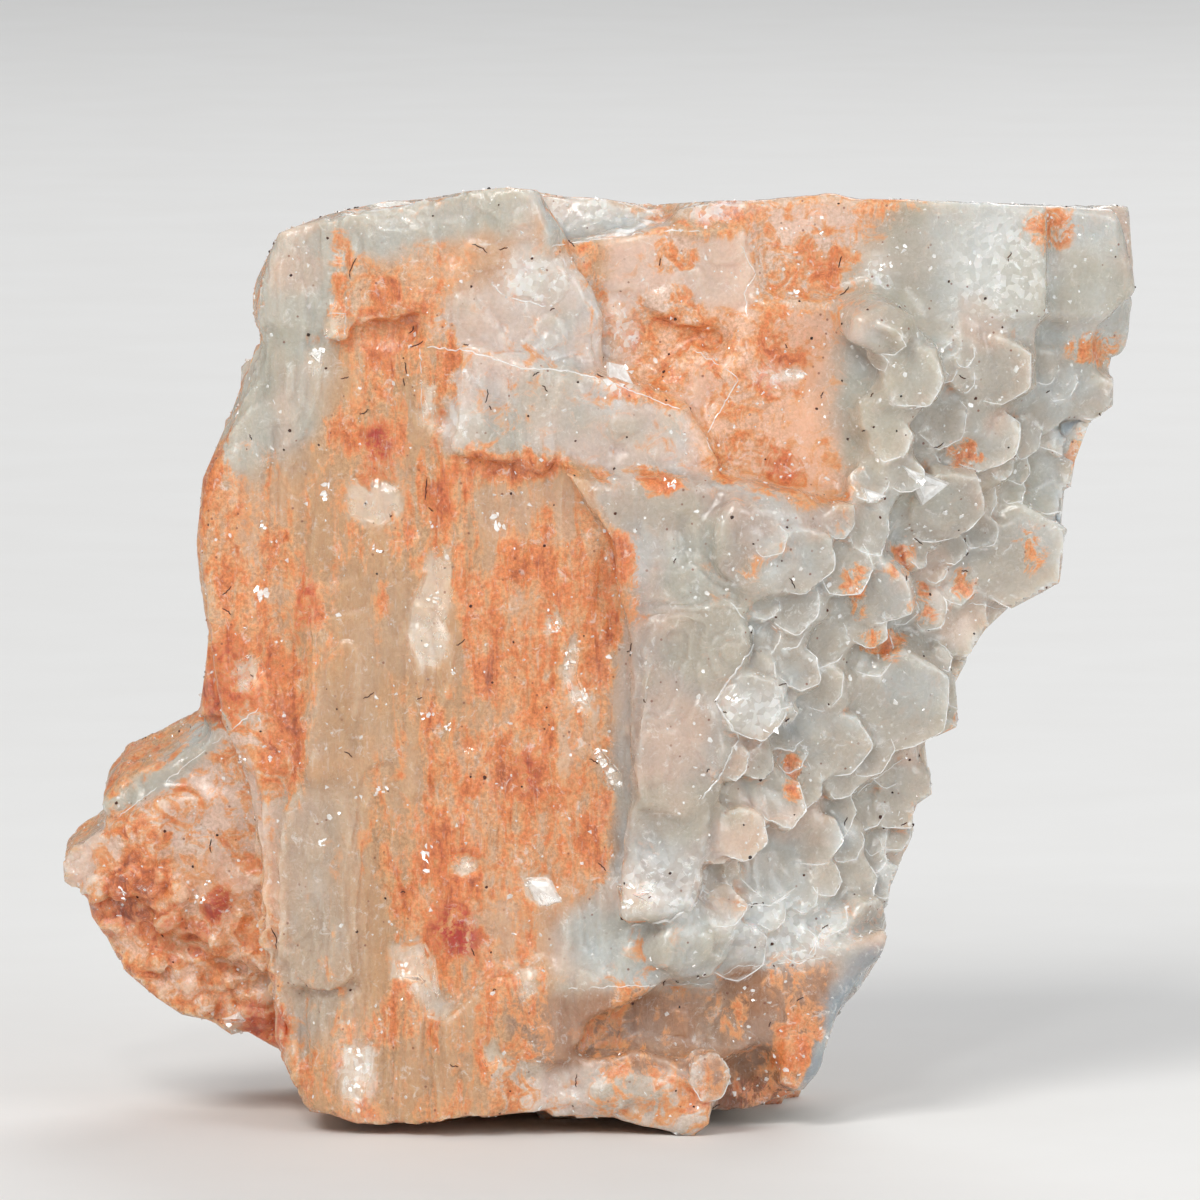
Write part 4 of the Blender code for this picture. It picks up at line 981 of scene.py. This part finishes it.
def flake(store, centre, normal, width, length, thick, rng):
    """One thin cleavage flake with an uneven outline."""
    sides = rng.choice((3, 4, 5))
    angle = np.sort(np.array([i + rng.uniform(-0.25, 0.25) for i in range(sides)])) * math.tau / sides
    top = np.stack([width / 2 * np.cos(angle), length / 2 * np.sin(angle), np.full(sides, thick / 2)], 1)
    below = top * np.array([1.08, 1.08, -1])
    placed = np.vstack([top, below]) @ turned_to(normal, rng.uniform(0, math.tau)) + np.array(centre)
    faces = [list(range(sides)), list(range(2 * sides - 1, sides - 1, -1))]
    faces += [[i, sides + i, sides + (i + 1) % sides, (i + 1) % sides] for i in range(sides)]
    store.add(placed, faces)


def slab(store, corners, normal, proud, sunk, rng):
    """One clear crystal: a slab with the outline of given points on the stone, and facets broken across its top."""
    corners = np.array(corners)
    middle = corners.mean(axis=0)
    frame = turned_to(normal)
    local = (corners - middle) @ frame.T
    if (local[:, 0] * np.roll(local[:, 1], -1) - local[:, 1] * np.roll(local[:, 0], -1)).sum() < 0:
        local = local[::-1]
    points = []
    for share, height, uneven in ((0.5, proud, 0.5), (0.88, 0.85 * proud, 0.35), (1.0, 0.3 * proud, 0.1),
                                  (1.0, -sunk, 0.0)):
        ring = local * share
        ring[:, 2] += height + uneven * proud * np.array([rng.uniform(-1, 1) for _ in ring])
        points.append(ring)
    points.append(np.array([[0, 0, proud * rng.uniform(0.8, 1.5)], [0, 0, -sunk]]))
    store.add(np.vstack(points) @ frame + middle, [f[::-1] for f in rings(points[:-1])])


def thread(store, path, radius):
    """A thin round fibre along a path."""
    points = []
    for i, here in enumerate(path):
        ahead = Vector(path[min(i + 1, len(path) - 1)]) - Vector(path[max(i - 1, 0)])
        frame = turned_to(ahead)
        thin = radius * (0.45 if i in (0, len(path) - 1) else 1.0)
        angle = np.arange(5) * math.tau / 5
        ring = np.stack([thin * np.cos(angle), thin * np.sin(angle), np.zeros(5)], 1) @ frame + np.array(here)
        points.append(ring)
    points.append(np.array([path[0], path[-1]]))
    store.add(np.vstack(points), rings(points[:-1]))


class Surface:
    """The finished stone, for setting small things on it."""

    def __init__(self, points, faces):
        self.tree = BVHTree.FromPolygons(points.tolist(), faces.tolist())
        self.face_normal, _ = corner_normals(points, faces)
        self.middles = points[faces].mean(axis=1)
        a, b, c = (points[faces[:, i]] for i in range(3))
        self.area = np.linalg.norm(np.cross(b - a, c - a), axis=1) / 2

    def seen_at(self, px, py):
        """The point and normal that the photograph's eye meets at one of its pixels, or None."""
        place, normal, _, _ = self.tree.ray_cast(eye_point(), sight_line(px, py))
        return None if place is None else (place, normal)

    def smooth_normal(self, place, reach):
        """The mean normal of the stone near a place."""
        near = self.tree.find_nearest_range(place, reach)
        total = Vector()
        for _, normal, _, _ in near[:60]:
            total += normal
        return total.normalized() if total.length > 0 else Vector((0, -1, 0))

    def keeps_out_of_sight(self, place, normal, radius):
        """Whether a crystal that is set there would leave the clean upper outline of the photograph as it is."""
        if place.z < CLEAN_OUTLINE_HEIGHT:
            return True
        across, along, _ = (Vector(row) for row in turned_to(normal))
        for step in range(8):
            turn = step * math.tau / 8
            edge = place + (across * math.cos(turn) + along * math.sin(turn)) * 1.4 * radius + normal * radius
            line = edge - eye_point()
            distance = self.tree.ray_cast(eye_point(), line.normalized())[3]
            if distance is None or distance > line.length:
                return False
        return True

    def scattered(self, count, rng, weight):
        """Random places on the stone, more of them where the weight is high."""
        share = np.cumsum(self.area * weight)
        picks = np.searchsorted(share, np.array([rng.random() for _ in range(count)]) * share[-1])
        return [(Vector(self.middles[i]), Vector(self.face_normal[i])) for i in picks]


def leaning(normal, rng, amount):
    """The normal, turned a little at random."""
    return (normal + amount * Vector([rng.gauss(0, 1) for _ in range(3)])).normalized()


def flank_ends(surface, rng):
    """The crystal ends that cover the flank like scales, and fewer of them round the back."""
    ends = []

    def crowded(place, radius):
        return any(np.linalg.norm(e.centre - np.array(place)) < 0.68 * (e.radius + radius) for e in ends)

    tries = [(px, py, size * PIXEL) for px, py, size in BROAD_ENDS]
    left, top, right, bottom = FLANK_BOX
    tries += [(rng.uniform(left, right), rng.uniform(top, bottom), rng.triangular(0.9, 3.0, 1.7) * MM)
              for _ in range(1500)]
    for px, py, radius in tries:
        if in_outline(np.array([px]), np.array([py]), FLANK_OUTLINE, 1)[0] < 0.5:
            continue
        seen = surface.seen_at(px, py)
        if seen is None or crowded(seen[0], radius):
            continue
        outward = surface.smooth_normal(seen[0], 3 * MM) - 0.6 * FORWARD + 0.14 * (UPWARD - RIGHT)
        ends.append(CrystalEnd(seen[0], leaning(outward.normalized(), rng, 0.07), radius,
                               rng.uniform(0.1, 0.28) * MM, rng))
    height, across, behind = surface.middles[:, 2], surface.middles[:, 0], surface.face_normal[:, 1]
    right_back = smooth_step(across, 10 * MM, 26 * MM) * smooth_step(surface.face_normal[:, 0] + behind, 0.2, 0.8)
    weight = (right_back + 0.25 * smooth_step(behind, 0.3, 0.8)) * smooth_step(height, 3 * MM, 9 * MM)
    weight *= 1 - smooth_step(surface.face_normal[:, 2], 0.3, 0.6)
    for place, normal in surface.scattered(420, rng, weight):
        radius = rng.triangular(0.9, 3.6, 1.5) * MM
        if not crowded(place, radius) and surface.keeps_out_of_sight(place, normal, radius):
            outward = surface.smooth_normal(place, 3 * MM) + 0.14 * Vector((0.5, 0, 1))
            ends.append(CrystalEnd(place, leaning(outward.normalized(), rng, 0.1), radius,
                                   rng.uniform(0.35, 0.7) * MM, rng))
    return ends


def add_druse(store, surface, rng):
    """The crust of small crystals on the rough lower mass of the wing, and a few in other places."""
    left, top, right, bottom = WING_DRUSE
    for _ in range(150):
        px, py = rng.uniform(left, right), rng.uniform(top, bottom)
        seen = surface.seen_at(px, py)
        if seen is not None and (py > WING_DRUSE_TOP or px < WING_DRUSE_RIGHT):
            radius = rng.triangular(0.4, 1.3, 0.6) * MM
            small_crystal(store, seen[0], leaning(seen[1], rng, 0.5), radius, rng.uniform(0.2, 0.7) * radius, rng,
                          1.2 * MM)
    low_left = smooth_step(-surface.middles[:, 0], 24 * MM, 31 * MM) * (surface.middles[:, 2] < 21 * MM)
    weight = low_left + 0.04 * smooth_step(surface.face_normal[:, 1], 0.2, 0.8)
    for place, normal in surface.scattered(260, rng, weight):
        radius = rng.triangular(0.4, 1.5, 0.6) * MM
        if surface.keeps_out_of_sight(place, normal, radius):
            small_crystal(store, place, leaning(normal, rng, 0.45), radius, rng.uniform(0.2, 0.8) * radius, rng,
                          1.2 * MM)


def grow_slabs(name, outlines, surface, rng, scattered):
    """Crystals with outlines in the photograph's pixels, and a few more where it doesn't show."""
    store = Store()
    for outline, proud in outlines:
        seen = [surface.seen_at(px, py) for px, py in outline]
        corners = [s[0] for s in seen if s is not None]
        if len(corners) < 3:
            continue
        middle = sum(corners, Vector()) / len(corners)
        normal = (surface.smooth_normal(middle, 2 * MM) - 0.8 * FORWARD).normalized()
        flat = [c - normal * ((c - middle).dot(normal) * 0.7) for c in corners]
        slab(store, flat, normal, proud * MM, 0.5 * MM, rng)
    for place, normal in surface.scattered(scattered, rng, (surface.face_normal[:, 1] > 0.7) * 1.0):
        size = rng.uniform(0.8, 2.0) * MM
        frame = turned_to(normal, rng.uniform(0, 6))
        corners = [place + Vector(frame[0]) * size * math.cos(a) * 0.7 + Vector(frame[1]) * size * math.sin(a)
                   for a in (0.2, 1.3, 2.4, 3.5, 4.4, 5.4)]
        slab(store, corners, normal, rng.uniform(0.3, 0.6) * MM, 0.5 * MM, rng)
    return store.piece(name)


def grow_flakes(surface, rng):
    """Bright cleavage flakes: the ones that glint in the photograph, and small ones all over."""
    store = Store()
    key_lamp = Vector(LAMPS[0][1])
    for x0, y0, x1, y1 in GLINTS:
        for _ in range(6):
            seen = surface.seen_at(rng.uniform(x0, x1), rng.uniform(y0, y1))
            if seen is None:
                continue
            place, normal = seen
            towards_lamp, towards_eye = (key_lamp - place).normalized(), (eye_point() - place).normalized()
            glint = leaning((towards_lamp + towards_eye).normalized(), rng, 0.12)
            width, length = rng.uniform(0.2, 0.5) * (x1 - x0) * PIXEL, rng.uniform(0.2, 0.5) * (y1 - y0) * PIXEL
            flake(store, place + normal * 0.05 * MM, glint, width, length, 0.1 * MM, rng)
    weight = 0.6 + 0.7 * smooth_step(surface.middles[:, 0], 0, 15 * MM)
    for place, normal in surface.scattered(4200, rng, weight):
        size = rng.triangular(0.07, 0.5, 0.13) * MM
        flake(store, place + normal * 0.03 * MM, leaning(normal, rng, 0.5), size, size * rng.uniform(0.5, 1.6),
              0.08 * MM, rng)
    return store.piece("cleavage_flakes")


def grow_highlight_rims(surface, ends, rng):
    """Painted highlights as white threads: on the lit lower right rims of crystal ends, and on plate edges the
    photograph shows.
    """
    store = Store()
    paths = []
    light_side = RIGHT - 1.1 * UPWARD
    for end in ends:
        angle = np.arange(RIM_STEPS) * math.tau / RIM_STEPS
        out = end.reach(angle)
        rim_highlight = np.stack([out * np.cos(angle) * end.stretch, out * np.sin(angle), np.full(RIM_STEPS, end.proud)], 1)
        side = rim_highlight @ end.frame
        lit = side @ np.array(light_side) / end.radius > rng.uniform(-0.5, 0.3)
        first = int(np.argmin(lit)) if not lit.all() else 0
        order = [(first + i) % RIM_STEPS for i in range(RIM_STEPS)]
        paths.append(([Vector(side[i] + end.centre) if lit[i] else None for i in order], 0.065))
    for corners, width in HIGHLIGHT_EDGES:
        path = []
        for (ax, ay), (bx, by) in zip(corners, corners[1:]):
            steps = max(2, int(math.hypot(bx - ax, by - ay) / 4))
            for i in range(steps):
                seen = surface.seen_at(ax + (bx - ax) * i / steps + rng.gauss(0, 0.7),
                                       ay + (by - ay) * i / steps + rng.gauss(0, 0.7))
                path.append(seen and seen[0])
        paths.append((path, width))
    for path, width in paths:
        run = []
        for here in path + [None]:
            near = surface.tree.find_nearest(here) if here is not None else (None,) * 4
            joined = near[0] is not None and near[3] < 0.4 * MM and rng.random() > 0.06
            if joined and run and (near[0] - run[-1]).length > 0.9 * MM:
                joined = False
            if joined:
                run.append(near[0] + near[1] * 0.01 * MM)
            elif len(run) > 2:
                thread(store, run, width * rng.uniform(0.6, 1.2) * MM)
                run = []
            else:
                run = []
    return store.piece("painted_highlight_rims")


def lay_dust(surface, rng):
    """Dark fibres and grains of dust that lie on the stone."""
    store = Store()
    threads = [(surface.seen_at(px, py), length * PIXEL, math.radians(lean)) for px, py, length, lean in FIBRES]
    for place, normal in surface.scattered(150, rng, np.ones(len(surface.area))):
        threads.append(((place, normal), rng.triangular(0.25, 1.2, 0.4) * MM, rng.uniform(0, math.pi)))
    for seen, length, lean in threads:
        if seen is None:
            continue
        place, normal = seen
        flat = turned_to(normal)
        heading = Vector(flat[0]) * math.cos(lean) + Vector(flat[1]) * math.sin(lean)
        aside = normal.cross(heading)
        bend = rng.uniform(-0.5, 0.5)
        path = []
        for step in range(7):
            t = step / 6 - 0.5
            way = place + heading * length * t + aside * length * bend * (t * t - 0.1)
            way += aside * rng.gauss(0, 0.03) * MM
            near = surface.tree.find_nearest(way)
            path.append(tuple(near[0] + near[1] * 0.04 * MM))
        thread(store, path, 0.05 * MM)
    for place, normal in surface.scattered(520, rng, np.ones(len(surface.area))):
        size = rng.triangular(0.05, 0.16, 0.08) * MM
        small_crystal(store, place, leaning(normal, rng, 0.6), size, size, rng, 0.1 * MM)
    return store.piece("dust_fibres")


def add_floor():
    """A plain pale floor that fills the view behind the stone."""
    half = FLOOR_HALF_WIDTH
    floor = mesh_object("floor", [(-half, -half, 0), (half, -half, 0), (half, half, 0), (-half, half, 0)],
                        [[0, 1, 2, 3]])
    material, tree, shader = new_material("pale_floor")
    wire = Wiring(tree)
    tone = wire.noise(wire.place((1, 1, 1)), 60, 3, 0.5)
    wire.link(wire.mix(tone, (0.80, 0.79, 0.775), (0.84, 0.835, 0.825)), shader.inputs["Base Color"])
    shader.inputs["Roughness"].default_value = 0.7
    floor.data.materials.append(material)


def add_lamp(name, place, size, power, colour):
    lamp = bpy.data.lights.new(name, "AREA")
    lamp.shape = "DISK"
    lamp.size = size
    lamp.energy = power
    lamp.color = colour
    made = bpy.data.objects.new(name, lamp)
    made.location = place
    made.rotation_euler = (Vector(LAMP_TARGET) - Vector(place)).to_track_quat("-Z", "Y").to_euler()
    bpy.context.collection.objects.link(made)


def add_lights():
    """Soft light from a large lamp at the upper left, weaker ones at the right and behind, a small bright one
    that makes the facets glint, and a pale surround."""
    for name, place, size, share, colour in LAMPS:
        add_lamp(name, place, size, share * KEY_POWER, colour)
    world = bpy.data.worlds.new("pale_surround")
    world.use_nodes = True
    world.node_tree.nodes["Background"].inputs["Color"].default_value = SURROUND
    world.node_tree.nodes["Background"].inputs["Strength"].default_value = SURROUND_STRENGTH
    bpy.context.scene.world = world
    bpy.context.scene.view_settings.view_transform = "Standard"


def add_camera():
    lens = bpy.data.cameras.new("camera")
    lens.sensor_width = LENS_WIDTH
    lens.lens = LENS_WIDTH * EYE_DISTANCE / FRAME_WIDTH
    lens.clip_start = 0.05
    lens.clip_end = 30
    camera = bpy.data.objects.new("camera", lens)
    camera.location = eye_point()
    camera.rotation_euler = FORWARD.to_track_quat("-Z", "Y").to_euler()
    bpy.context.collection.objects.link(camera)
    bpy.context.scene.camera = camera


def grow_stone(source):
    """The stone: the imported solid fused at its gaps, with more crystals on it, one skin, and its relief."""
    stone = fused_body(source)
    points, faces = mesh_arrays(stone.data)
    ground = Surface(points, faces)
    ends = flank_ends(ground, random.Random(SEED + 1))
    store = Store()
    for end in ends:
        end.add_to(store)
    add_druse(store, ground, random.Random(SEED + 2))
    points, faces = joined_meshes((points, faces.tolist()), (np.vstack(store.points), store.faces))
    old = stone.data
    stone.data = bpy.data.meshes.new("stone")
    stone.data.from_pydata(points.tolist(), [], faces)
    bpy.data.meshes.remove(old)
    skin_over(stone, SKIN_CELL)

    points, faces = mesh_arrays(stone.data)
    _, normals = corner_normals(points, faces)
    convex, _ = edge_sharpness(points, faces)
    moved = points + relief(points, normals, spread(convex, faces, 1))
    cut_flat = (points[:, 2] < 0.3 * MM) & (normals[:, 2] < -0.7)
    moved[cut_flat, 2] = 0.0
    solid = BVHTree.FromPolygons(*(a.tolist() for a in mesh_arrays(source.data)))
    move_points(stone, bounded(corner_cut(trimmed(moved, solid))))
    thin_out(stone, STONE_TRIANGLES, UNSEEN_TRIANGLES)
    return stone, ends


def finish_stone(stone, ends):
    """Paints the stone, gives it its material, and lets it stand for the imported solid."""
    points, faces = mesh_arrays(stone.data)
    _, normals = corner_normals(points, faces)
    convex, concave = edge_sharpness(points, faces)
    looks = paint(points, normals)
    flank = on_flank(points)
    # Painted highlight: convex edges are whitened along the rims, more on the flank, in the same attribute as the
    # frost.
    rim_highlight = smooth_step(spread(convex, faces, 1), 0.2, 0.6) * (0.55 + 0.45 * noise(points, 2 * MM, 51, 2))
    looks["frost_and_highlight"] = np.clip(np.maximum(0.85 * looks["frost_and_highlight"], rim_highlight * (0.25 + 0.35 * flank)), 0, 1)
    for end in ends:
        end.mark(points, looks)
    # Painted shade: concave creases are darkened by raising the stain there, most where the stone is already
    # stained.
    crevice_shade = smooth_step(-spread(concave, faces, 2), 0.1, 0.5)
    looks["stain"] = np.clip(looks["stain"] + crevice_shade * (0.06 + 0.3 * smooth_step(looks["stain"], 0.1, 0.4)), 0, 1)
    set_attributes(stone.data, looks)
    shade(stone, 40, stone_material())
    take_on(stone)
    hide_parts(NODE)
    return Surface(points, faces)


def finish_grown(made, material, angle):
    """Paints a mesh of small things as the stone round them is painted, and makes it part of the object.

    They cast no shadow on the stone, since light passes them or they are thin."""
    piece, frost_and_highlight = made
    piece.visible_shadow = False
    points, faces = mesh_arrays(piece.data)
    looks = paint(points, corner_normals(points, faces)[1])
    looks["frost_and_highlight"] = np.clip(np.maximum(0.6 * looks["frost_and_highlight"], frost_and_highlight), 0, 1)
    set_attributes(piece.data, looks)
    shade(piece, angle, material)
    take_on(piece)


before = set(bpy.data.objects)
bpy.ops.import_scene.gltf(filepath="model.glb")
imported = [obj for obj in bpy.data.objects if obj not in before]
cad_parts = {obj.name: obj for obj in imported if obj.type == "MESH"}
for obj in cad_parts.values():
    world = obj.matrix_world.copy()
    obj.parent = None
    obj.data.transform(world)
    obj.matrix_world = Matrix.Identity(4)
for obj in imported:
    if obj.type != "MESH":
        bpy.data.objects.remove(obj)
cad_low, cad_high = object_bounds()

add_camera()
add_lights()
add_floor()
stone, crystal_ends = grow_stone(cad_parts[NODE])
surface = finish_stone(stone, crystal_ends)
finish_grown(grow_slabs("clear_crystals", WINDOWS, surface, random.Random(SEED + 3), 8), clear_material(), angle=18)
finish_grown(grow_slabs("bright_wedges", WEDGES, surface, random.Random(SEED), 0), flake_material(), angle=15)
finish_grown(grow_flakes(surface, random.Random(SEED + 4)), flake_material(), angle=10)
# White threads of painted highlight on the lit rims and plate edges.
finish_grown(grow_highlight_rims(surface, crystal_ends, random.Random(SEED + 6)), flake_material(), angle=60)
finish_grown(lay_dust(surface, random.Random(SEED + 5)), dust_material(), angle=40)
